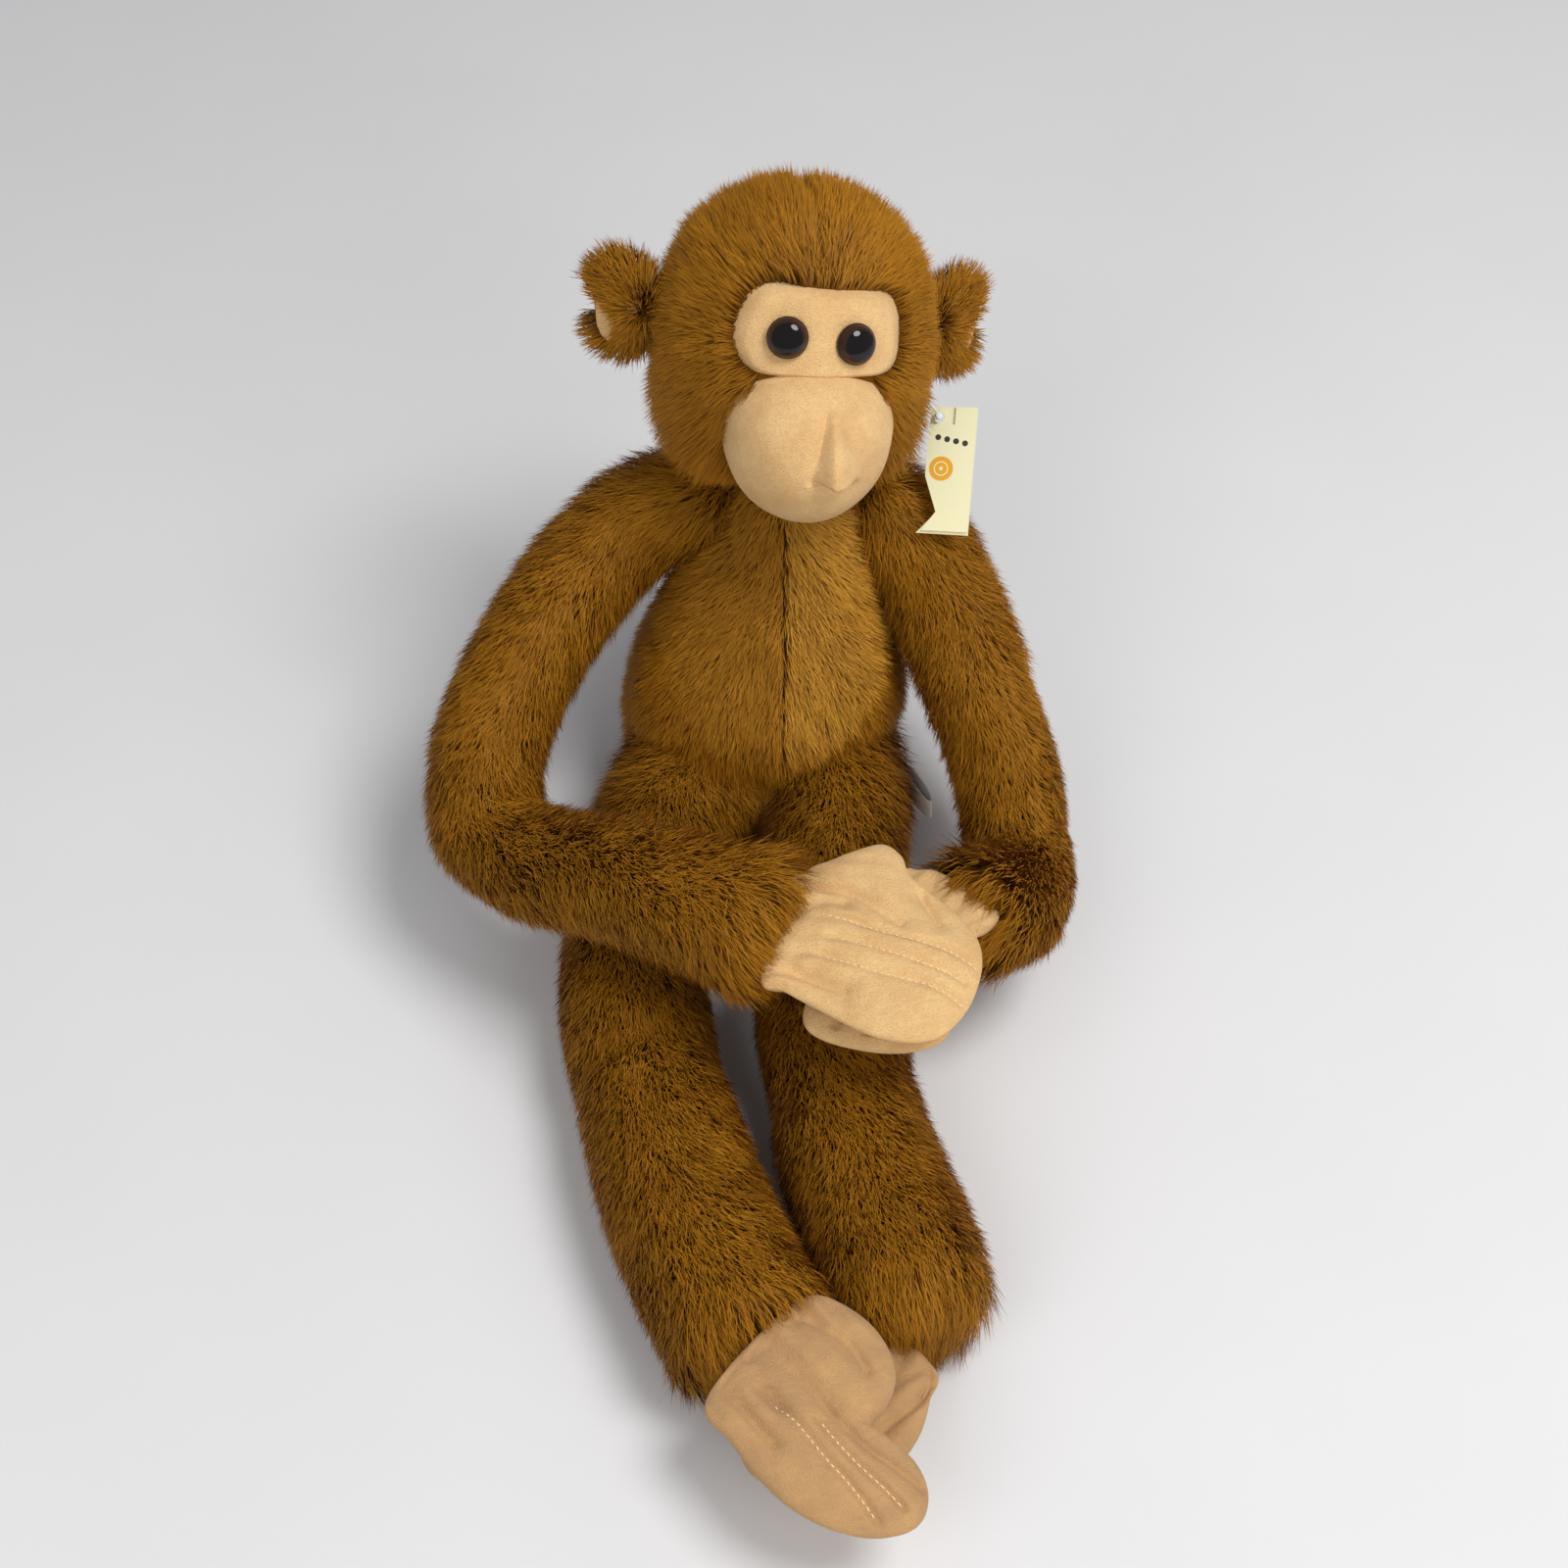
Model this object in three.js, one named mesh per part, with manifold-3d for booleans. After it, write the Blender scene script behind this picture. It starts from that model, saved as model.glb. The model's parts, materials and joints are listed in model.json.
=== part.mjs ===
// Long-limbed plush monkey, seated with its hands clasped over one thigh and its feet crossed.
// Millimetres, +Z up. The origin is the middle of the flat seat, on the surface that it sits on.
// The monkey faces -Y, so its right side is at -X and its left side at +X.
// Soft pieces are plain solids of the body under the pile. Each limb is a sewn sleeve round its stuffing.
import * as THREE from "three";
import { mergeVertices } from "three/addons/utils/BufferGeometryUtils.js";
import { ConvexGeometry } from "three/addons/geometries/ConvexGeometry.js";
import Module from "manifold-3d";

const wasm = await Module();
wasm.setup();

// ---------- driving dimensions ----------
const GAP = 0.3; // between neighbouring pieces of one body
const CLEARANCE = 0.8; // between bodies that move on each other
const FABRIC = 2.2; // backing and packed pile of the fur cloth
const WELD = 2e-3; // corners closer than this are one corner in a finished piece
const SIDES = 10; // round a limb
const STEPS = 2; // rings for each stretch of a limb's centreline
const CUT_SIDES = 8; // round the plain tube that cuts a joint's clearance
const CUT_STEP = 30; // degrees between the placings of that tube
const MITT_STEP = 9; // degrees between the placings of a mitt that turns in its cuff
const SEAT_THICKNESS = 2.5;
const BIB_FRONT = -12; // the belly panels lie in front of this depth at the seat
const BIB_LEAN = 17; // degrees that the torso and its panels lean back
const BIB_WIDTH = 34;
const BIB_LOW = 52;

// Torso axis from the seat to the neck: x, y, z, half width, half depth.
const TORSO = [
  [0, 0, 0, 32, 29],
  [-1, 0, 6, 40, 36],
  [1, 2, 26, 44, 41],
  [3, 8, 52, 44, 39],
  [7, 17, 80, 40, 35],
  [11, 26, 104, 35, 30],
  [16, 35, 124, 27, 24],
  [18, 40, 138, 18, 17],
  [18, 42, 146, 13, 12],
];
const NECK = [18, 41, 136];
const NECK_RADIUS = 19;

const HEAD = { centre: [20, 49, 192], size: [47, 49, 50], tilt: [-20, 8, 3] };
const MASK = { width: 66, height: 36, corner: 14, z: 12, depth: -24 };
const MUZZLE = { centre: [0, -36, -24], size: [31, 30, 29] };
const NOSE = { top: [3, -61, -5], low: [6, -74, -29], half: 10, rise: 4 };
const EYE = { x: 12.2, z: 14.5, radius: 6.8, rise: 0.62 };
const SHANK = { radius: 2.2, length: 13, washer: 7.5, thickness: 2, depth: 9.6 };
const EAR = { x: 51.5, y: 5, z: 9, reach: 25, height: 36, thickness: 9, sweep: 32 };
// The hang tag: two leaves that fold on their left edge, leaning forwards with the shoulder under them.
const CARD = {
  at: [73, 38, 157],
  turn: -30,
  lean: 49,
  slip: 12,
  thickness: 0.8,
  back: [[-3.5, 4], [14, 4], [14, -43], [-5.5, -43], [1.5, -35], [-3.5, -22]],
  front: [[6, 4], [14, 4], [14, -42], [-3.5, -42], [1.5, -35], [-3.5, -22], [-3.5, -2.6], [6, -2.6]],
  hole: 2.2,
};
const FASTENER = { radius: 0.6, root: [42, -4, -14], elbow: [50, -8, -20], behind: 5, proud: 2.5, knob: 1.6 };
const LABEL = { at: [47, -6, 27], reach: 38, height: 10, thickness: 1, turn: -68 };

// Limb centrelines: x, y, z, radius. Each stretch starts at its joint.
const ARM = {
  right: {
    upper: [
      [-18, 43, 124, 17], [-43, 42, 114, 18.5], [-78, 13, 96, 19],
      [-105, -24, 71, 19], [-109, -54, 58, 19],
    ],
    lower: [
      [-109, -54, 58, 18], [-91, -75, 62, 19], [-64, -96, 76, 19.5],
      [-38, -118, 85, 21.5], [-15, -133, 87, 22.5],
    ],
  },
  left: {
    upper: [
      [52, 34, 118, 17], [66, 18, 104, 18.5], [79, -22, 80, 19],
      [88, -50, 58, 19], [88, -78, 46, 19],
    ],
    lower: [[88, -78, 46, 18], [85, -98, 47, 19], [74, -112, 55, 20], [60, -121, 65, 20.5]],
  },
};
const LEG = {
  right: {
    upper: [
      [-27, -10, 29, 20], [-41, -34, 27, 22.5], [-55, -72, 24, 24],
      [-62, -112, 24, 24.5], [-61, -146, 24, 24.5],
    ],
    lower: [
      [-61, -146, 24, 23], [-58, -168, 24, 25], [-52, -205, 24.5, 26],
      [-42, -240, 26, 26.5], [-37, -256, 27, 26],
    ],
  },
  left: {
    upper: [
      [27, -10, 29, 20], [26, -34, 27, 22.5], [15, -90, 24, 24],
      [8, -132, 24, 24.5], [8, -162, 24, 24.5],
    ],
    lower: [
      [8, -162, 24, 23], [8, -182, 24, 25], [12, -212, 24.5, 26],
      [17, -240, 26, 26.5], [18, -252, 24.5, 24],
    ],
  },
};

// Hands and feet are flat stuffed mitts. Outline points run along and across the mitt from its hinge.
const HAND = {
  thickness: 12,
  root: 15,
  outline: [[8, -20], [32, -30], [48, -31], [61, -24], [68, -6], [66, 9], [52, 21], [34, 24], [8, 20]],
  digit: [[14, 27], [30, 27.5], [33, 36], [27, 43], [17, 40], [11, 33]],
};
const FOOT = {
  thickness: 14,
  root: 18,
  outline: [[8, -20], [42, -23], [64, -19], [77, -7], [77, 5], [66, 12], [40, 13], [8, 15]],
  digit: [[6, 19], [30, 17], [46, 18], [51, 28], [40, 38], [18, 40], [7, 33]],
};
// Where each mitt lies: hinge point, turn of its length from -Y about Z, lift of its tip, and the side
// that its thumb or big toe is on. The left foot lies sole up, so its big toe points forwards.
const MITT = {
  hand_right: { kind: HAND, at: [-9, -137, 86], turn: 71, lift: 0, side: 1, digitShift: 0 },
  hand_left: { kind: HAND, at: [62, -126, 71], turn: -52, lift: 0, side: -1, digitShift: -8 },
  foot_right: { kind: FOOT, at: [-38, -267, 43], turn: 33, lift: -4, side: 1, digitShift: 0 },
  foot_left: { kind: FOOT, at: [9, -260, 20], turn: -51, lift: 0, side: 1, digitShift: 4 },
};

// Hinges: where, about which axis, and how far they turn from rest, in degrees.
const UP = [0, 0, 1];
const JOINT = {
  shoulder_right: { at: ARM.right.upper[0].slice(0, 3), axis: [-1, 0, 0], range: [0, 60] },
  shoulder_left: { at: ARM.left.upper[0].slice(0, 3), axis: UP, range: [0, 35] },
  elbow_right: { at: ARM.right.lower[0].slice(0, 3), axis: [0, 0, -1], range: [0, 40] },
  elbow_left: { at: ARM.left.lower[0].slice(0, 3), axis: UP, range: [0, 40] },
  hip_right: { at: LEG.right.upper[0].slice(0, 3), axis: [0, 0, -1], range: [0, 10] },
  hip_left: { at: LEG.left.upper[0].slice(0, 3), axis: UP, range: [0, 8] },
  knee_right: { at: LEG.right.lower[0].slice(0, 3), axis: [-1, 0, 0], range: [0, 45] },
  knee_left: { at: LEG.left.lower[0].slice(0, 3), axis: UP, range: [0, 30] },
};

// ---------- looks ----------
const BROWN = 0x7a4316;
const GOLD = 0x96602a;
const CREAM = 0xe8bd8b;
const FILLING = 0xf2f0ea;
const BLACK = 0x0b0908;
const NYLON = 0xe9e9e4;
const PAPER = 0xf1ecc0;
const SATIN = 0xf3f1ec;

// ---------- geometry helpers ----------
const vector = (p) => new THREE.Vector3(p[0], p[1], p[2]);

/** A closed solid for cutting and joining, from any closed three.js geometry. */
function solid(geometry, weld = 1e-4) {
  const bare = geometry.index ? geometry.toNonIndexed() : geometry.clone();
  for (const name of Object.keys(bare.attributes)) {
    if (name !== "position") bare.deleteAttribute(name);
  }
  const merged = mergeVertices(bare, weld);
  return new wasm.Manifold(
    new wasm.Mesh({
      numProp: 3,
      vertProperties: new Float32Array(merged.attributes.position.array),
      triVerts: new Uint32Array(merged.index.array),
    }),
  );
}

function geometryOf(body) {
  const mesh = body.getMesh();
  const geometry = new THREE.BufferGeometry();
  geometry.setAttribute("position", new THREE.BufferAttribute(new Float32Array(mesh.vertProperties), 3));
  geometry.setIndex(new THREE.BufferAttribute(new Uint32Array(mesh.triVerts), 1));
  return geometry;
}

/** Skins a list of rings, each a list of points, and closes both ends on a pole. */
function skin(rings, firstPole, lastPole) {
  const count = rings[0].length;
  const points = [...rings.flat(), firstPole, lastPole];
  const first = points.length - 2;
  const last = points.length - 1;
  const faces = [];
  for (let k = 0; k < count; k++) {
    const next = (k + 1) % count;
    faces.push(first, next, k);
    for (let r = 0; r < rings.length - 1; r++) {
      const a = r * count + k;
      const b = r * count + next;
      faces.push(a, b, b + count, a, b + count, a + count);
    }
    const end = (rings.length - 1) * count;
    faces.push(last, end + k, end + next);
  }
  const geometry = new THREE.BufferGeometry().setFromPoints(points);
  geometry.setIndex(faces);
  return geometry;
}

/** Points along a limb: centre, direction and radius, evenly spaced over each stretch. */
function stations(route, steps = STEPS) {
  const curve = new THREE.CatmullRomCurve3(route.map(vector), false, "centripetal");
  const count = (route.length - 1) * steps;
  const list = [];
  for (let i = 0; i <= count; i++) {
    const u = i / count;
    const place = u * (route.length - 1);
    const k = Math.min(Math.floor(place), route.length - 2);
    const radius = THREE.MathUtils.lerp(route[k][3], route[k + 1][3], place - k);
    list.push({ centre: curve.getPoint(u), along: curve.getTangent(u), radius });
  }
  return list;
}

/** Rings round a list of stations, all of one roundness, without twist from one to the next. */
function ringsRound(list, sides) {
  let across = new THREE.Vector3(0, 0, 1);
  return list.map(({ centre, along, radius }) => {
    across = across.clone().addScaledVector(along, -across.dot(along)).normalize();
    const other = new THREE.Vector3().crossVectors(along, across);
    const points = [];
    for (let k = 0; k < sides; k++) {
      const angle = (k / sides) * 2 * Math.PI;
      const point = centre.clone().addScaledVector(across, radius * Math.cos(angle));
      points.push(point.addScaledVector(other, radius * Math.sin(angle)));
    }
    return points;
  });
}

/** A stuffed limb: a ball at its joint, a round body along its route and a flat far end. */
function limb(route, grow = 0, extend = 0) {
  const list = stations(route).map((station) => ({ ...station, radius: station.radius + grow }));
  const start = list[0];
  const end = list[list.length - 1];
  const cap = [60, 30].map((angle) => {
    const bend = THREE.MathUtils.degToRad(angle);
    const centre = start.centre.clone().addScaledVector(start.along, -start.radius * Math.sin(bend));
    return { centre, along: start.along, radius: start.radius * Math.cos(bend) };
  });
  const tail = end.centre.clone().addScaledVector(end.along, extend);
  if (extend) list.push({ ...end, centre: tail });
  const firstPole = start.centre.clone().addScaledVector(start.along, -start.radius);
  return solid(skin(ringsRound([...cap, ...list], SIDES), firstPole, tail));
}

/** What a limb sweeps as it turns on its joint, as one ball and a few placings of a plain tube. */
function limbCutter(route, joint) {
  const round = 1 / Math.cos(Math.PI / CUT_SIDES);
  const list = stations(route.slice(0, 4), 1);
  const wide = list.map((station) => ({ ...station, radius: (station.radius + CLEARANCE) * round }));
  const tube = solid(skin(ringsRound(wide, CUT_SIDES), wide[0].centre, wide[wide.length - 1].centre));
  return sweep(tube, joint).add(ball(joint.at, (route[0][3] + CLEARANCE) * 1.04, 12));
}

/** The torso, grown or shrunk by a wall, with its underside raised by the same wall. */
function torsoBody(grow, floor) {
  const sides = 16;
  const rings = TORSO.map(([x, y, z, halfWidth, halfDepth]) => {
    const points = [];
    for (let k = 0; k < sides; k++) {
      const angle = (k / sides) * 2 * Math.PI;
      const px = x + (halfWidth + grow) * Math.cos(angle);
      const py = y + (halfDepth + grow) * Math.sin(angle);
      points.push(new THREE.Vector3(px, py, Math.max(z, floor)));
    }
    return points;
  });
  const top = TORSO[TORSO.length - 1];
  const crown = new THREE.Vector3(top[0], top[1], top[2] + 4 + grow);
  return solid(skin(rings, new THREE.Vector3(0, 0, floor), crown));
}

const box = (low, high) => {
  const size = vector(high).sub(vector(low));
  const middle = vector(low).addScaledVector(size, 0.5);
  return solid(new THREE.BoxGeometry(size.x, size.y, size.z).translate(middle.x, middle.y, middle.z));
};
const ball = (centre, radius, segments = 20) =>
  solid(new THREE.SphereGeometry(radius, segments, segments / 2).translate(...centre));

/** A flat stuffed mitt: an outline with softly rounded edges, lying in its own XY plane. */
function mittPlate(outline, thickness, grow = 0) {
  const curve = new THREE.CatmullRomCurve3(outline.map(([u, v]) => new THREE.Vector3(u, v, 0)), true);
  const rim = curve.getPoints(outline.length * 2).slice(0, -1);
  const shape = new THREE.Shape(rim.map((p) => new THREE.Vector2(p.x, p.y)));
  const bevel = thickness * 0.3;
  return new THREE.ExtrudeGeometry(shape, {
    depth: thickness - 2 * bevel + 2 * grow,
    bevelSize: grow,
    bevelOffset: 0,
    bevelThickness: bevel,
    bevelSegments: 1,
    curveSegments: 1,
  }).translate(0, 0, -(thickness / 2 - bevel + grow));
}

/** The same body turned about a hinge through its range, joined into one cutting tool. */
function sweep(body, joint, step = CUT_STEP) {
  const axis = vector(joint.axis).normalize();
  const [low, high] = joint.range;
  const count = Math.max(1, Math.ceil((high - low) / step));
  let tool = body;
  for (let i = 0; i <= count; i++) {
    const angle = THREE.MathUtils.degToRad(low + ((high - low) * i) / count);
    if (angle === 0) continue;
    const turn = new THREE.Matrix4()
      .makeTranslation(...joint.at)
      .multiply(new THREE.Matrix4().makeRotationAxis(axis, angle))
      .multiply(new THREE.Matrix4().makeTranslation(...joint.at.map((value) => -value)));
    tool = tool.add(solid(geometryOf(body).applyMatrix4(turn)));
  }
  return tool;
}

// ---------- limbs ----------
const root = new THREE.Group();
const groups = { torso: { group: root, at: [0, 0, 0] } };

/** A moving group at its joint, inside the group that it moves on. */
function body(name, parent, at) {
  const group = new THREE.Group();
  group.position.copy(vector(at).sub(vector(groups[parent].at)));
  groups[parent].group.add(group);
  groups[name] = { group, at };
}

/** The largest part of a cut solid, without the crumbs that a cut can leave. */
const bigger = (most, next) => (next.volume() > most.volume() ? next : most);
const largest = (shape) => shape.decompose().reduce(bigger);

/** Adds one named piece, given in the object's frame, to its moving group. */
function piece(bodyName, name, shape, color, roughness = 0.95) {
  const { group, at } = groups[bodyName];
  const moved = geometryOf(shape).translate(-at[0], -at[1], -at[2]);
  const geometry = geometryOf(largest(solid(moved, WELD)));
  const mesh = new THREE.Mesh(geometry, new THREE.MeshStandardMaterial({ color, roughness, metalness: 0 }));
  mesh.name = name;
  group.add(mesh);
}

const BELOW = box([-400, -500, -80], [400, 300, 0]);

/** A sleeve of fur cloth and the stuffing inside it, both cut clear of what turns at their far end. */
function stuffedLimb(bodyName, name, route, cutter) {
  const outer = limb(route).subtract(BELOW);
  const floor = BELOW.translate([0, 0, FABRIC]);
  const lining = limb(route, -FABRIC, 3).subtract(floor);
  const core = limb(route, -FABRIC - GAP).subtract(floor.translate([0, 0, GAP]));
  piece(bodyName, `${name}_sleeve`, outer.subtract(lining).subtract(cutter), BROWN);
  piece(bodyName, `${name}_stuffing`, core.subtract(cutter), FILLING);
}

/** A mitt's frame: its length along local X, its thumb or big toe towards local Y. */
function mittPlace({ at, turn, lift, side }) {
  const rad = THREE.MathUtils.degToRad;
  return new THREE.Matrix4()
    .makeTranslation(...at)
    .multiply(new THREE.Matrix4().makeRotationZ(rad(turn - 90)))
    .multiply(new THREE.Matrix4().makeRotationY(-rad(lift)))
    .multiply(new THREE.Matrix4().makeScale(1, side, 1));
}

/** Places a geometry, and turns its faces the right way out again where the placing mirrors it. */
function placed(geometry, matrix) {
  const shape = solid(geometry);
  const moved = geometryOf(shape).applyMatrix4(matrix);
  if (matrix.determinant() < 0) {
    const index = moved.index.array;
    for (let i = 0; i < index.length; i += 3) [index[i], index[i + 1]] = [index[i + 1], index[i]];
  }
  return solid(moved);
}

function mittSolids(mitt, grow = 0) {
  const { kind, digitShift } = mitt;
  const matrix = mittPlace(mitt);
  const half = kind.thickness / 2 + grow;
  const roller = new THREE.CylinderGeometry(half, half, 2 * (kind.root + grow), 12);
  const strap = new THREE.BoxGeometry(14, 2 * (kind.root + grow), 2 * half).translate(7, 0, 0);
  const palm = placed(mittPlate(kind.outline, kind.thickness, grow), matrix)
    .add(placed(roller, matrix))
    .add(placed(strap, matrix));
  const outline = kind.digit.map(([u, v]) => [u + digitShift, v]);
  const digit = placed(mittPlate(outline, kind.thickness, grow), matrix);
  const [rootAlong, rootAcross] = outline[0];
  const hinge = new THREE.Vector3(rootAlong + 2, rootAcross + 5, 0).applyMatrix4(matrix);
  return { palm, digit, hinge: hinge.toArray() };
}

/** A hinge across a mitt's root, which lifts its tip. */
function liftJoint(mitt, range) {
  const turn = THREE.MathUtils.degToRad(mitt.turn);
  return { at: mitt.at, axis: [-Math.cos(turn), -Math.sin(turn), 0], range };
}
const turnJoint = (mitt, range) => ({ at: mitt.at, axis: UP, range });

/** One arm or leg: two stuffed lengths, a mitt and its thumb or big toe, each on its own hinge. */
function wholeLimb(names, side, routes, mitt, wristJoint, digitLifts) {
  const { upper, lower, end, digit, first, second } = names;
  const firstJoint = JOINT[`${first}_${side}`];
  const secondJoint = JOINT[`${second}_${side}`];
  const fine = mittSolids(mitt);
  const grown = mittSolids(mitt, CLEARANCE);
  const digitJoint = digitLifts
    ? liftJoint({ ...mitt, at: fine.hinge }, [0, 25])
    : { at: fine.hinge, axis: [0, 0, mitt.side], range: [0, 15] };
  body(`${upper}_${side}`, "torso", firstJoint.at);
  body(`${lower}_${side}`, `${upper}_${side}`, secondJoint.at);
  body(`${end}_${side}`, `${lower}_${side}`, mitt.at);
  body(`${digit}_${side}`, `${end}_${side}`, fine.hinge);
  stuffedLimb(`${upper}_${side}`, `${upper}_${side}`, routes.upper, limbCutter(routes.lower, secondJoint));
  const mittSweep = sweep(grown.palm, wristJoint, MITT_STEP);
  stuffedLimb(`${lower}_${side}`, `${lower}_${side}`, routes.lower, mittSweep);
  piece(`${end}_${side}`, `${end}_${side}`, fine.palm.subtract(sweep(grown.digit, digitJoint)), CREAM);
  piece(`${digit}_${side}`, `${digit}_${side}`, fine.digit, CREAM);
  return limbCutter(routes.upper, firstJoint);
}

const ARM_NAMES = {
  upper: "upper_arm",
  lower: "forearm",
  end: "hand",
  digit: "thumb",
  first: "shoulder",
  second: "elbow",
};
const LEG_NAMES = {
  upper: "thigh",
  lower: "shin",
  end: "foot",
  digit: "big_toe",
  first: "hip",
  second: "knee",
};
const limbSweeps = [
  wholeLimb(ARM_NAMES, "right", ARM.right, MITT.hand_right, liftJoint(MITT.hand_right, [0, 50]), true),
  wholeLimb(ARM_NAMES, "left", ARM.left, MITT.hand_left, turnJoint(MITT.hand_left, [0, 25]), false),
  wholeLimb(LEG_NAMES, "right", LEG.right, MITT.foot_right, liftJoint(MITT.foot_right, [0, 45]), true),
  wholeLimb(LEG_NAMES, "left", LEG.left, MITT.foot_left, turnJoint(MITT.foot_left, [0, 25]), false),
];

// ---------- torso ----------
function buildTorso() {
  const clearOfLimbs = limbSweeps.reduce((all, next) => all.add(next));
  const outer = torsoBody(0, 0);
  const lining = torsoBody(-FABRIC, SEAT_THICKNESS + GAP);
  const shell = outer.subtract(lining).subtract(box([-90, -90, -1], [90, 90, SEAT_THICKNESS + GAP]));
  const bibOutline = [
    [-12, BIB_LOW], [16, BIB_LOW], [BIB_WIDTH, 84],
    [BIB_WIDTH + 8, 150], [-28, 150], [-36, 84],
  ];
  const bibShape = new THREE.Shape(bibOutline.map(([x, z]) => new THREE.Vector2(x, z)));
  const bib = (grow) =>
    solid(
      new THREE.ExtrudeGeometry(bibShape, {
        depth: 80,
        bevelEnabled: grow > 0,
        bevelSize: grow,
        bevelThickness: grow,
        bevelSegments: 1,
      })
        .rotateX(Math.PI / 2)
        .translate(0, BIB_FRONT, 0)
        .rotateX(THREE.MathUtils.degToRad(-BIB_LEAN)),
    );
  const seamSide = (shift) => {
    const half = new THREE.BoxGeometry(400, 400, 400).translate(200 - shift, 0, 0);
    return solid(half.rotateY(0.12).translate(4, 0, 80));
  };
  const front = shell.intersect(bib(0)).subtract(clearOfLimbs);
  piece("torso", "torso_fur", shell.subtract(bib(GAP)).subtract(clearOfLimbs), BROWN);
  piece("torso", "belly_panel_left", front.intersect(seamSide(0)), GOLD);
  piece("torso", "belly_panel_right", front.subtract(seamSide(GAP)), GOLD);
  piece("torso", "seat_panel", outer.intersect(box([-90, -90, -1], [90, 90, SEAT_THICKNESS])), BROWN);
  const stuffing = torsoBody(-FABRIC - GAP, SEAT_THICKNESS + 2 * GAP).subtract(clearOfLimbs);
  piece("torso", "torso_stuffing", stuffing, FILLING);
}
buildTorso();

// ---------- head ----------
const tilt = new THREE.Euler(...HEAD.tilt.map(THREE.MathUtils.degToRad));
const headPlace = new THREE.Matrix4().makeRotationFromEuler(tilt).setPosition(...HEAD.centre);
const inHead = (geometry) => placed(geometry, headPlace);
const headPoint = (p) => vector(p).applyMatrix4(headPlace).toArray();
const skull = (grow) => {
  const size = HEAD.size.map((half) => half + grow);
  return inHead(new THREE.SphereGeometry(1, 18, 12).scale(...size));
};

function maskPrism(grow) {
  const half = MASK.width / 2 + grow;
  const rise = MASK.height / 2 + grow;
  const shape = new THREE.Shape();
  shape.absarc(half - MASK.corner, rise - MASK.corner, MASK.corner, 0, Math.PI / 2);
  shape.absarc(-half + MASK.corner, rise - MASK.corner, MASK.corner, Math.PI / 2, Math.PI);
  shape.lineTo(-half + 7, -rise);
  shape.lineTo(half - 7, -rise);
  const prism = new THREE.ExtrudeGeometry(shape, { depth: 60, bevelEnabled: false, curveSegments: 4 });
  return inHead(prism.rotateX(Math.PI / 2).translate(0, MASK.depth, MASK.z));
}

const muzzleBody = (grow) => {
  const geometry = new THREE.SphereGeometry(1, 18, 10).scale(...MUZZLE.size.map((half) => half + grow));
  return inHead(geometry.translate(...MUZZLE.centre));
};

/** A safety eye: domed front and a shank that its washer grips. Its back is at the origin, facing -Y. */
function eyeGeometry(grow) {
  const profile = [[0, -SHANK.length], [SHANK.radius, -SHANK.length], [SHANK.radius, 0], [EYE.radius, 0]];
  for (const angle of [20, 45, 70]) {
    const bend = THREE.MathUtils.degToRad(angle);
    profile.push([EYE.radius * Math.cos(bend), EYE.radius * EYE.rise * Math.sin(bend)]);
  }
  profile.push([0, EYE.radius * EYE.rise]);
  const points = profile.map(([r, h]) => {
    const out = r === 0 ? 0 : r + grow;
    return new THREE.Vector2(out, h + Math.sign(h || -1) * grow);
  });
  return new THREE.LatheGeometry(points, 12).rotateX(Math.PI);
}

function washerGeometry() {
  const inner = SHANK.radius + GAP / 2;
  const deep = -SHANK.depth;
  const near = deep + SHANK.thickness;
  const points = [[inner, deep], [SHANK.washer, deep], [SHANK.washer, near], [inner, near]];
  points.push(points[0]);
  return new THREE.LatheGeometry(points.map(([r, h]) => new THREE.Vector2(r, h)), 12).rotateX(Math.PI);
}

function eyePlace(x) {
  const [a, b, c] = HEAD.size;
  const y = -(b + 1.4) * Math.sqrt(1 - (x / a) ** 2 - (EYE.z / c) ** 2);
  const yaw = Math.atan2(x / a ** 2, -y / b ** 2);
  return new THREE.Matrix4().makeRotationZ(yaw).setPosition(x, y, EYE.z);
}

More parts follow.
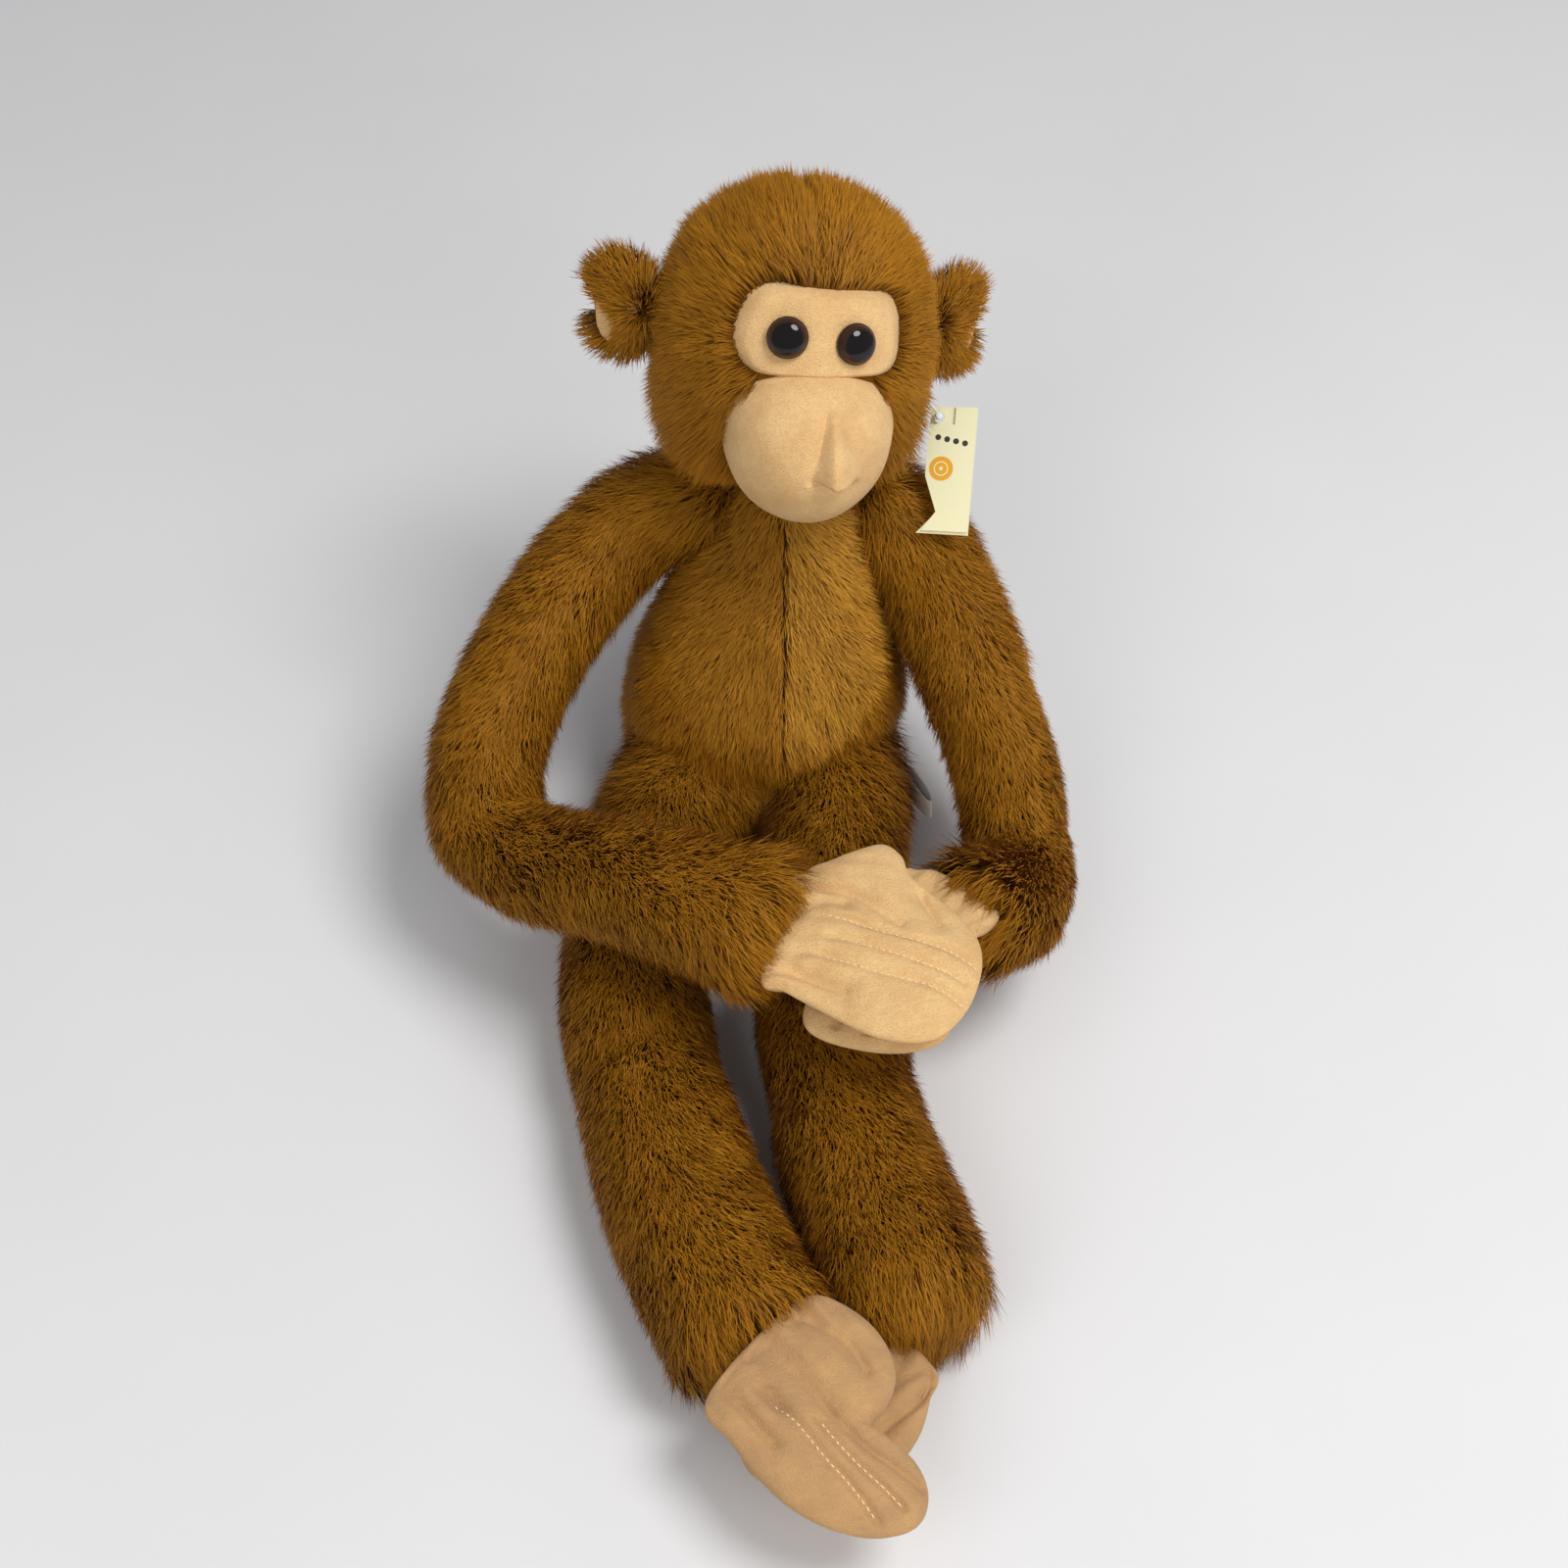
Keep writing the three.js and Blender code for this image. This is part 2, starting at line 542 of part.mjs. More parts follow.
function buildHead() {
  body("head", "torso", NECK);
  const neckHole = ball(NECK, NECK_RADIUS + CLEARANCE, 20);
  const lining = skull(-FABRIC);
  const core = skull(-FABRIC - GAP);
  const split = inHead(new THREE.BoxGeometry(200, 200, 200).translate(100 + GAP / 2, 0, 0));
  const splitOther = inHead(new THREE.BoxGeometry(200, 200, 200).translate(-100 - GAP / 2, 0, 0));
  const atEye = (geometry, x) => placed(geometry.applyMatrix4(eyePlace(x)), headPlace);
  const eyes = [-EYE.x, EYE.x].map((x) => (grow) => atEye(eyeGeometry(grow), x));
  const washers = [-EYE.x, EYE.x].map((x) => atEye(washerGeometry(), x));
  const washerRoom = [-EYE.x, EYE.x].map((x) => {
    const wide = SHANK.washer + GAP;
    const room = new THREE.CylinderGeometry(wide, wide, SHANK.thickness + 2 * GAP, 12);
    room.translate(0, SHANK.depth - SHANK.thickness / 2, 0).applyMatrix4(eyePlace(x));
    return placed(room, headPlace);
  });
  const shell = skull(0).subtract(lining).subtract(neckHole);
  const fabric = shell.subtract(maskPrism(GAP)).subtract(muzzleBody(GAP));
  piece("head", "head_fur_left", fabric.intersect(split).subtract(fastenerSolid(GAP)), BROWN);
  piece("head", "head_fur_right", fabric.intersect(splitOther), BROWN);
  const eyeRoom = eyes[0](GAP).add(eyes[1](GAP));
  piece("head", "eye_mask", skull(1).subtract(lining).intersect(maskPrism(0)).subtract(eyeRoom), CREAM);
  const muzzle = muzzleBody(0).subtract(lining).subtract(maskPrism(GAP));
  piece("head", "muzzle", muzzle, CREAM);
  const [topX, topY, topZ] = NOSE.top;
  const [lowX, lowY, lowZ] = NOSE.low;
  const nosePoints = [
    [topX, topY, topZ],
    [topX, topY + 8, topZ],
    [lowX - NOSE.half, lowY + 12, lowZ],
    [lowX + NOSE.half, lowY + 12, lowZ],
    [lowX, lowY, lowZ + NOSE.rise],
    [lowX, lowY + 12, lowZ - NOSE.rise],
  ];
  const pleat = inHead(new ConvexGeometry(nosePoints.map(vector)));
  piece("head", "nose_fold", pleat.subtract(muzzleBody(GAP)), CREAM);
  ["right", "left"].forEach((side, k) => {
    piece("head", `eye_${side}`, eyes[k](0), BLACK, 0.08);
    piece("head", `eye_washer_${side}`, washers[k], NYLON, 0.5);
  });
  const stuffing = core.subtract(neckHole).subtract(eyeRoom).subtract(washerRoom[0]).subtract(washerRoom[1]);
  piece("head", "head_stuffing", stuffing.subtract(fastenerSolid(GAP)), FILLING);
}

// ---------- ears ----------
/** An ear lobe in its own frame: its hinge along local Z, its reach along X, its front towards -Y. */
function earPlate(inset, front, back, grow = 0) {
  const { reach, height } = EAR;
  const half = height / 2 - inset + grow;
  const shape = new THREE.Shape();
  shape.moveTo(inset - grow, -11 + inset - grow);
  shape.quadraticCurveTo(reach * 0.3, -half, reach * 0.55, -half);
  shape.quadraticCurveTo(reach - inset + grow, -half, reach - inset + grow, 0);
  shape.quadraticCurveTo(reach - inset + grow, half, reach * 0.55, half);
  shape.quadraticCurveTo(reach * 0.3, half, inset - grow, 11 - inset + grow);
  shape.closePath();
  const bevel = Math.min(1.6, (back - front) / 2 - 0.1);
  const plate = new THREE.ExtrudeGeometry(shape, {
    depth: back - front - 2 * bevel,
    bevelSize: bevel,
    bevelOffset: -bevel,
    bevelThickness: bevel,
    bevelSegments: 1,
    curveSegments: 4,
  });
  return plate.rotateX(Math.PI / 2).translate(0, back - bevel, 0);
}

function buildEar(side, sign) {
  const at = [sign * EAR.x, EAR.y, EAR.z];
  const swept = new THREE.Matrix4().makeRotationZ(THREE.MathUtils.degToRad(EAR.sweep));
  const local = new THREE.Matrix4().makeScale(sign, 1, 1).multiply(swept).setPosition(...at);
  const place = headPlace.clone().multiply(local);
  body(`ear_${side}`, "head", headPoint(at));
  const half = EAR.thickness / 2;
  const roll = new THREE.CylinderGeometry(half - 1, half - 1, 20, 12);
  const rootRoll = placed(roll.rotateX(Math.PI / 2), place);
  const back = placed(earPlate(0, -0.6, half), place).add(rootRoll);
  const room = new THREE.CylinderGeometry(half - 1 + GAP, half - 1 + GAP, 24, 12);
  const plush = placed(earPlate(3.5, -half + 1, -0.6 - GAP), place);
  const lining = plush.subtract(placed(room.rotateX(Math.PI / 2), place));
  piece(`ear_${side}`, `ear_fur_${side}`, back, BROWN);
  piece(`ear_${side}`, `ear_lining_${side}`, lining, CREAM);
}

// ---------- hang tag ----------
const cardTurn = new THREE.Matrix4().makeRotationZ(THREE.MathUtils.degToRad(CARD.turn));
const cardLean = new THREE.Matrix4().makeRotationX(-THREE.MathUtils.degToRad(CARD.lean));
const cardSlip = new THREE.Matrix4().makeRotationY(-THREE.MathUtils.degToRad(CARD.slip));
const cardPlace = cardTurn.clone().multiply(cardLean).multiply(cardSlip).setPosition(...CARD.at);
const cardNormal = new THREE.Vector3(0, -1, 0).transformDirection(cardPlace);

function fastenerSolid(grow) {
  const radius = FASTENER.radius + grow;
  const hole = vector(CARD.at);
  const route = [
    vector(headPoint(FASTENER.root)),
    vector(headPoint(FASTENER.elbow)),
    hole.clone().addScaledVector(cardNormal, -FASTENER.behind),
    hole.clone().addScaledVector(cardNormal, FASTENER.proud + grow),
  ];
  const section = new THREE.Shape().absarc(0, 0, radius, 0, 2 * Math.PI);
  const rod = new THREE.ExtrudeGeometry(section, {
    extrudePath: new THREE.CatmullRomCurve3(route),
    steps: 8,
    curveSegments: 3,
    bevelEnabled: false,
  });
  const knob = new THREE.SphereGeometry(FASTENER.knob + grow, 8, 5).translate(...route[3].toArray());
  const anchor = new THREE.SphereGeometry(FASTENER.knob + grow, 8, 5).translate(...route[0].toArray());
  return solid(rod).add(solid(knob)).add(solid(anchor));
}

/** One leaf of the card, with its front face this far behind the card's hinge line. */
function cardLeaf(outline, behind, holes) {
  const shape = new THREE.Shape(outline.map(([x, z]) => new THREE.Vector2(x, z)));
  shape.holes.push(...holes);
  const leaf = new THREE.ExtrudeGeometry(shape, { depth: CARD.thickness, bevelEnabled: false });
  return placed(leaf.rotateX(Math.PI / 2).translate(0, CARD.thickness + behind, 0), cardPlace);
}

function buildTag() {
  piece("head", "tag_fastener", fastenerSolid(0), NYLON, 0.4);
  body("tag", "head", CARD.at);
  const fold = new THREE.Vector3(CARD.back[0][0], 0, 0).applyMatrix4(cardPlace).toArray();
  body("tag_cover", "tag", fold);
  const rim = [0, 1, 2, 3, 4, 5, 6, 7].map((k) => {
    const angle = (k * Math.PI) / 4;
    return new THREE.Vector2(CARD.hole * Math.cos(angle), CARD.hole * Math.sin(angle));
  });
  const hole = new THREE.Path(rim);
  piece("tag", "tag_back_leaf", cardLeaf(CARD.back, GAP, [hole]), PAPER, 0.6);
  piece("tag_cover", "tag_front_leaf", cardLeaf(CARD.front, -CARD.thickness, []), PAPER, 0.6);
}

// ---------- care label ----------
function buildLabel() {
  body("label", "torso", LABEL.at);
  const { reach, height, thickness, turn } = LABEL;
  const loop = new THREE.BoxGeometry(reach, thickness, height).translate(reach / 2, 0, 0);
  const place = new THREE.Matrix4().makeRotationZ(THREE.MathUtils.degToRad(turn)).setPosition(...LABEL.at);
  piece("label", "care_label", placed(loop, place), SATIN, 0.7);
}

buildHead();
buildEar("right", -1);
buildEar("left", 1);
buildTag();
buildLabel();

export default root;
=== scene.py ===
"""Looks of a long-armed stuffed monkey: fur pile, plush face, hands and feet, eyes, tag and care label."""

import itertools
import json
import math

import bpy
import numpy as np
from bpy.props import FloatProperty, FloatVectorProperty, PointerProperty
from mathutils import Matrix, Vector


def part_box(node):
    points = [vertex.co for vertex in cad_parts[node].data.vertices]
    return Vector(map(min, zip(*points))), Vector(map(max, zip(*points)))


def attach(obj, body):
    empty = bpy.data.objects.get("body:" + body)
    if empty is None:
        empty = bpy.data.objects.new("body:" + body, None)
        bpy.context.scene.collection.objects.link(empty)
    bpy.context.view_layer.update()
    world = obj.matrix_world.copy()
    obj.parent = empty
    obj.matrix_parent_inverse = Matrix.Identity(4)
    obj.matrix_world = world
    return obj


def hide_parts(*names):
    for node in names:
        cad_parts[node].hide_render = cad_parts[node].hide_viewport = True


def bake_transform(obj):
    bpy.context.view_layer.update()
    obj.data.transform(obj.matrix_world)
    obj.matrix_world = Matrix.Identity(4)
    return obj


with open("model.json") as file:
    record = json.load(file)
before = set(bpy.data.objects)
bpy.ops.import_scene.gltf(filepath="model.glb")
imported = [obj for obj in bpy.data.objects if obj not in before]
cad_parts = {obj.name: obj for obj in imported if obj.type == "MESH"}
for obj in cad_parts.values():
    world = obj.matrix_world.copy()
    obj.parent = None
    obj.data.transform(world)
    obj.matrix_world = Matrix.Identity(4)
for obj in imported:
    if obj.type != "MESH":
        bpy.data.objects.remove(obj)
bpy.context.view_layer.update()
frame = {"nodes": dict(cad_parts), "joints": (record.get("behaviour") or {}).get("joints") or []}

bl_info = {
    "name": "Stuffed monkey",
    "version": (1, 0, 0),
    "blender": (4, 5, 0),
    "location": "View3D > Sidebar > Monkey",
    "description": "Makes the fur, plush face, hands, feet, eyes and tags of a long-armed stuffed monkey",
    "category": "Object",
}

MM = 0.001
# Spacing of the tufts of fur.
TUFT_SIZE = 0.0052
# How far each ear's cloth hangs below its solid.
EAR_DROP = {"right": 0.0035, "left": 0.0070}

# Limb routes in millimetres: x, y, z and the radius over the fur.
ROUTES = {
    "upper_arm_right": ((-18, 43, 124, 17), (-43, 42, 114, 18.5), (-78, 13, 96, 19), (-105, -24, 71, 19),
                        (-109, -54, 58, 19)),
    "forearm_right": ((-109, -54, 58, 18), (-91, -75, 62, 19), (-64, -96, 76, 19.5), (-38, -118, 85, 21.5),
                      (-15, -133, 87, 22.5)),
    "upper_arm_left": ((52, 34, 118, 17), (66, 18, 104, 18.5), (79, -22, 80, 19), (88, -50, 58, 19),
                       (88, -78, 46, 19)),
    "forearm_left": ((88, -78, 46, 18), (85, -98, 47, 19), (74, -112, 55, 20), (60, -121, 65, 20.5)),
    "thigh_right": ((-27, -10, 29, 20), (-41, -34, 27, 22.5), (-55, -72, 24, 24), (-62, -112, 24, 24.5),
                    (-61, -146, 24, 24.5)),
    "shin_right": ((-61, -146, 24, 23), (-58, -168, 24, 25), (-52, -205, 24.5, 26), (-42, -240, 26, 26.5),
                   (-37, -256, 27, 26)),
    "thigh_left": ((27, -10, 29, 20), (26, -34, 27, 22.5), (15, -90, 24, 24), (8, -132, 24, 24.5),
                   (8, -162, 24, 24.5)),
    "shin_left": ((8, -162, 24, 23), (8, -182, 24, 25), (12, -212, 24.5, 26), (17, -240, 26, 26.5),
                  (18, -252, 24.5, 24)),
}
# Each limb: its skin's name, upper part, lower part, and the way it passes through the elbow or knee.
LIMBS = (
    ("arm_right", "upper_arm_right", "forearm_right", (0.10, -0.98, -0.16)),
    ("arm_left", "upper_arm_left", "forearm_left", (-0.12, -0.97, -0.14)),
    ("leg_right", "thigh_right", "shin_right", (0.04, -1.0, 0.0)),
    ("leg_left", "thigh_left", "shin_left", (0.0, -1.0, 0.0)),
)
# Torso rings in millimetres: x, y, z, half width and half depth.
TORSO = ((0, 0, 0, 32, 29), (-1, 0, 6, 40, 36), (1, 2, 26, 44, 41), (3, 8, 52, 44, 39), (7, 17, 80, 40, 35),
         (11, 26, 104, 35, 30), (16, 35, 124, 27, 24), (18, 40, 138, 18, 17), (18, 42, 146, 13, 12))
HEAD_AT = Matrix.Translation(Vector((20, 49, 192)) * MM) @ Matrix(
    (Matrix.Rotation(math.radians(-20), 3, "X") @ Matrix.Rotation(math.radians(8), 3, "Y")
     @ Matrix.Rotation(math.radians(3), 3, "Z"))).to_4x4()
HEAD_SIZE = (47, 49, 50)
MUZZLE_AT = (0, -36, -24)
MUZZLE_SIZE = (28.8, 30, 29)
MASK_OUTLINE = ((0, 1.5), (13, 1.6), (25, 1.4), (29.4, 5.5), (30.2, 13), (29.6, 20.5), (25.2, 26.8),
                (15.8, 28.9), (3.1, 29.8), (-6.9, 30.2), (-16.5, 30.4), (-24.3, 25.4), (-28.9, 15.8),
                (-28.3, 7.2), (-23, 1.6), (-12.6, 1.2))
EYE_PLACES = {"eye_right": (-12.2, 15.4), "eye_left": (11.8, 13.9)}
# Mitts in millimetres and degrees: hinge place, turn about Z, lift, side of the thumb, half thickness,
# two distances across the thumb (split), outline, sewn lines and pressed folds.
HAND_RIGHT = {
    "at": (-9, -137, 86), "turn": 71, "lift": 0, "side": 1, "half": 6.4, "split": (25, 36),
    "outline": ((-5, -19), (4, -23), (18, -28.5), (34, -34), (47, -35), (58, -31), (65.5, -19), (68, -4),
                (66, 8), (59, 17.5), (47.5, 26), (38, 33), (33.5, 41), (27, 45), (20, 42.5), (9, 34.5),
                (1, 28), (-5, 18)),
    "lines": (((10, 8.5), (20, 7), (28, 5.3), (38, 3.6), (50, 2.2), (57, 1), (67, -3)),
              ((16, -.8), (25, -1.7), (35, -3.4), (42, -4.6), (48, -5.8), (56, -7.4), (63, -9.6)),
              ((5, -8), (14, -9), (21, -10), (34, -12.2), (42, -13), (51, -14), (59, -16.2), (65, -19))),
    "folds": (((2, 20), (17, 20), (27, 15.5), (38, 9)), ((43, 24), (47, 18), (51, 12)),
              ((4, -15), (14, -19), (24, -21)), ((2, 8), (10, 14), (18, 15))),
}
HAND_LEFT = {
    "at": (62, -126, 71), "turn": -52, "lift": 0, "side": -1, "half": 6.2, "split": (25, 36),
    "outline": ((-4, -5), (14, -6), (30, -15), (47, -26), (60, -22), (71, -10), (78, 4), (77, 13), (68, 19),
                (56, 22), (44, 24), (34, 27), (28, 32), (25, 38), (18, 41), (10, 38), (2, 30), (-4, 20)),
    "lines": (((10, 12), (30, 12), (50, 12), (70, 11)), ((12, 3), (32, 3), (50, 3), (72, 3)),
              ((8, -5), (26, -7), (46, -8), (66, -7))),
    "folds": (((4, 18), (18, 15), (28, 12)),),
}
FOOT_RIGHT = {
    "at": (-38, -267, 43), "turn": 33, "lift": -4, "side": 1, "half": 8.0, "split": (14.5, 22),
    "outline": ((4, -23), (20, -26), (40, -26.5), (56, -22.5), (69, -14), (76, -4), (76.5, 4), (71, 11),
                (62, 14), (52, 13), (44, 11.5), (42.5, 19), (38, 27.5), (29, 33), (18, 34.5), (7, 32),
                (-2, 26), (-3, 10)),
    "lines": (((12, -8.5), (23, -8), (31, -7.6), (43.5, -8.2), (53, -8), (61.5, -8.2), (69, -8.6)),
              ((34, -1.6), (43, -2.2), (52, -1.8), (62, -.6), (71, .2))),
    "folds": (((4, 1.5), (18, 3.4), (29, 2.9), (36, 2.4), (42.5, 3.2), (49.4, 4), (57, 6), (64, 8), (70, 9.5)),
              ((2, -4), (12, -7), (22, -8)), ((3, 17), (11, 21), (20, 23), (31, 21.5)),
              ((2, -14), (16, -17), (30, -17))),
}
FOOT_LEFT = {
    "at": (9, -260, 20), "turn": -51, "lift": 0, "side": 1, "half": 7.0, "split": (16, 24),
    "outline": ((-3, -18), (18, -21), (38, -21), (52, -18), (61, -12), (65, -3), (63, 5), (56, 10), (49, 13),
                (48, 20), (44, 26), (36, 29.5), (27, 30), (17, 28), (7, 23), (-3, 16)),
    "lines": (((12, -9), (30, -8), (44, -8), (58, -7)), ((30, 0), (44, 0), (60, 1))),
    "folds": (((0, 7), (14, 10), (28, 9), (42, 10)), ((0, 17), (10, 21), (22, 20), (36, 19)),
              ((2, -12), (14, -14), (28, -13)), ((3, -3), (14, -4), (24, -2))),
}
MITTS = (("hand_right", "thumb_right", HAND_RIGHT), ("hand_left", "thumb_left", HAND_LEFT),
         ("foot_right", "big_toe_right", FOOT_RIGHT), ("foot_left", "big_toe_left", FOOT_LEFT))
CARD_AT = Matrix.Translation(Vector((73, 38, 157)) * MM) @ Matrix.Rotation(math.radians(-30), 4, "Z") @ (
    Matrix.Rotation(math.radians(-49), 4, "X") @ Matrix.Rotation(math.radians(-12), 4, "Y"))
# The golden bib on the belly: height, and half its width there.
BIB = ((53, 0), (58, 12), (66, 24), (76, 33), (90, 38), (120, 40), (150, 37))
LABEL = {"at": (47, -6, 27), "height": 10.5, "turn": -68}


# ---------- settings ----------
def length(name, description, default, least, most):
    return FloatProperty(name=name, description=description, default=default, min=least, max=most,
                         unit="LENGTH")


def amount(name, description, default, least, most):
    return FloatProperty(name=name, description=description, default=default, min=least, max=most)


def colour(name, description, default):
    return FloatVectorProperty(name=name, description=description, subtype="COLOR", default=default,
                               min=0, max=1)


class MonkeyFur(bpy.types.PropertyGroup):
    pile: length("Pile length", "Length of one blade of fur", 0.0100, 0.003, 0.02)
    width: length("Pile width", "Width of one blade of fur at its root", 0.00052, 0.0002, 0.002)
    density: amount("Blades", "Blades of fur on a square centimetre", 250, 20, 400)
    inset: length("Skin inset", "How far the backing lies under the fur's outside", 0.0028, 0.001, 0.01)
    root: colour("Root colour", "Colour deep in the pile", (0.115, 0.038, 0.0022))
    middle: colour("Middle colour", "Colour half way up the pile", (0.275, 0.102, 0.0050))
    tip: colour("Tip colour", "Colour of the tips of the pile", (0.53, 0.225, 0.014))
    belly_tip: colour("Belly tip colour", "Colour of the belly's tips", (0.86, 0.430, 0.055))


class MonkeyPlush(bpy.types.PropertyGroup):
    colour: colour("Plush colour", "Cream short plush", (0.86, 0.575, 0.265))
    # The shade colour is a painted-shade copy of the cream plush, standing for plush brushed the other way,
    # which catches less light.
    shade: colour("Plush shade", "Cream plush brushed the other way", (0.66, 0.38, 0.155))
    # The feet's plush is the cream darkened as painted shade, for the light falling off towards the feet.
    shaded_foot: colour("Foot colour", "Plush of the feet", (0.47, 0.275, 0.130))
    stitch: colour("Stitch colour", "Sewing thread", (0.95, 0.73, 0.43))
    stitch_length: length("Stitch length", "Length of one stitch", 0.0019, 0.001, 0.006)


class MonkeyEyes(bpy.types.PropertyGroup):
    radius: length("Eye radius", "Radius of the domed eye with its rim", 0.0072, 0.003, 0.012)
    rise: length("Eye rise", "Height of the dome over its rim", 0.0046, 0.001, 0.009)
    rim: colour("Rim colour", "Brown ring round the pupil", (0.045, 0.015, 0.006))


class MonkeyTag(bpy.types.PropertyGroup):
    card: colour("Card colour", "Printed side of the card", (0.90, 0.84, 0.50))
    ornament: colour("Ornament colour", "Ring ornament on the card", (0.85, 0.42, 0.03))


class MonkeyStage(bpy.types.PropertyGroup):
    floor: colour("Floor colour", "Pale floor", (0.80, 0.79, 0.785))
    key: amount("Key light", "Power of the large soft light in watts", 23.0, 0, 200)
    fill: amount("Fill light", "Power of each fill light in watts", 4.3, 0, 200)
    sky: amount("Sky", "Strength of the light from all round", 0.33, 0, 5)


SETTINGS = (("monkey_fur", MonkeyFur), ("monkey_plush", MonkeyPlush), ("monkey_eyes", MonkeyEyes),
            ("monkey_tag", MonkeyTag), ("monkey_stage", MonkeyStage))


def setting(group):
    """One group of the scene's settings, such as monkey_fur."""
    return getattr(bpy.context.scene, group)


# ---------- finishes ----------
class Level:
    """A number that varies over a surface: sums of levels add Math nodes."""

    def __init__(self, finish, socket):
        self.finish = finish
        self.socket = socket

    def combine(self, operation, first, second):
        return self.finish.node("ShaderNodeMath", {"operation": operation}, {0: first, 1: second})

    def __add__(self, other):
        return self.combine("ADD", self, other)

    def __sub__(self, other):
        return self.combine("SUBTRACT", self, other)

    def __rsub__(self, other):
        return self.combine("SUBTRACT", other, self)

    def __mul__(self, other):
        return self.combine("MULTIPLY", self, other)

    def __gt__(self, other):
        return self.combine("GREATER_THAN", self, other)

    __radd__ = __add__
    __rmul__ = __mul__


class Finish:
    """A material being built, with one method that makes any node."""

    def __init__(self, name, **fixed):
        self.material = bpy.data.materials.new(name)
        self.material.use_nodes = True
        self.tree = self.material.node_tree
        self.surface = self.tree.nodes["Principled BSDF"]
        for socket, value in fixed.items():
            self.surface.inputs[socket.replace("_", " ")].default_value = value

    def node(self, kind, settings, inputs, output=0):
        made = self.tree.nodes.new(kind)
        for key, value in settings.items():
            if key == "stops":
                for k, (place, colour) in enumerate(value):
                    stop = made.color_ramp.elements[k] if k < 2 else made.color_ramp.elements.new(place)
                    stop.position = place
                    stop.color = (*colour, 1)
            else:
                setattr(made, key, value)
        for key, value in inputs.items():
            self.feed(made.inputs[key], value)
        return Level(self, made.outputs[output])

    def feed(self, socket, value):
        if isinstance(value, Level):
            self.tree.links.new(value.socket, socket)
        elif hasattr(value, "__len__") and len(value) == 3 and len(socket.default_value) == 4:
            socket.default_value = (*value, 1)
        else:
            socket.default_value = value

    def places(self, scale=(1, 1, 1), turn=(0, 0, 0)):
        """Object coordinates, stretched and turned."""
        spot = self.node("ShaderNodeTexCoord", {}, {}, "Object")
        return self.node("ShaderNodeMapping", {}, {"Vector": spot, "Scale": scale, "Rotation": turn})

    def noise(self, places, scale, detail=3.0):
        inputs = {"Vector": places, "Scale": scale, "Detail": detail}
        return self.node("ShaderNodeTexNoise", {}, inputs)

    def ramp(self, level, *stops):
        return self.node("ShaderNodeValToRGB", {"stops": stops}, {"Fac": level})

    def between(self, level, first, second):
        """A colour between two colours."""
        return self.node("ShaderNodeMix", {"data_type": "RGBA"}, {"Factor": level, 6: first, 7: second}, 2)

    def stored(self, name):
        """The three levels kept on a mesh under one name."""
        kept = self.node("ShaderNodeAttribute", {"attribute_name": name}, {}, "Color")
        return [self.node("ShaderNodeSeparateColor", {}, {"Color": kept}, k) for k in range(3)]

    def bump(self, height, distance, strength):
        inputs = {"Height": height, "Distance": distance, "Strength": strength}
        self.feed(self.surface.inputs["Normal"], self.node("ShaderNodeBump", {}, inputs))

    def set(self, socket, value):
        self.feed(self.surface.inputs[socket], value)
        return self


def mixed(first, second, share):
    return tuple(a + (b - a) * share for a, b in zip(first, second))


def fur_finish(name, tip):
    """Pile: dark at the root, brown, then gold at the tip, with darker and lighter tufts and patches: a
    painted-shade ramp and a painted-light ramp, mixed by random tone, tuft and broad patches, standing in for
    how the brushed pile catches the light.
    """
    fur = setting("monkey_fur")
    made = Finish(name, Roughness=0.55, Sheen_Weight=0.06, Sheen_Roughness=0.4, Specular_IOR_Level=0.12)
    made.surface.inputs["Sheen Tint"].default_value = (*mixed(tip, (1, 1, 1), 0.3), 1)
    along, tone, tuft = made.stored("pile")
    middle = mixed(fur.middle, tip, 0.25)
    # The two ramps below are a painted-shade copy and a painted-light copy of the same root-to-tip colours.
    shaded_pile_ramp = made.ramp(along, (0, fur.root), (1, mixed(middle, tip, 0.15)),
                     (0.5, mixed(fur.root, middle, 0.55)))
    light = made.ramp(along, (0, mixed(fur.root, middle, 0.25)), (1, tip), (0.5, mixed(middle, tip, 0.3)))
    # Broad noise patches paint shade and light over the pile, as brushing turns it to or from the light; tone
    # and tuft add random variation.
    light_and_shade_patches = made.noise(made.places(), 45.0, 2.0)
    share = tone * 0.45 + tuft * 0.35 + light_and_shade_patches * 0.85 - 0.33
    made.set("Base Color", made.between(share, shaded_pile_ramp, light))
    made.set("Roughness", 0.42 + tone * 0.25)
    return made.material


def backing_finish(name, colour):
    """Woven backing that the pile stands on."""
    made = Finish(name, Roughness=0.95, Specular_IOR_Level=0.1)
    weave = made.noise(made.places((900, 900, 900)), 1.0, 2.0)
    broad = made.noise(made.places(), 60.0)
    made.set("Base Color", made.between(weave * 0.5 + broad * 0.5, mixed(colour, (0, 0, 0), 0.5), colour))
    made.bump(weave, 0.0004, 0.6)
    return made.material


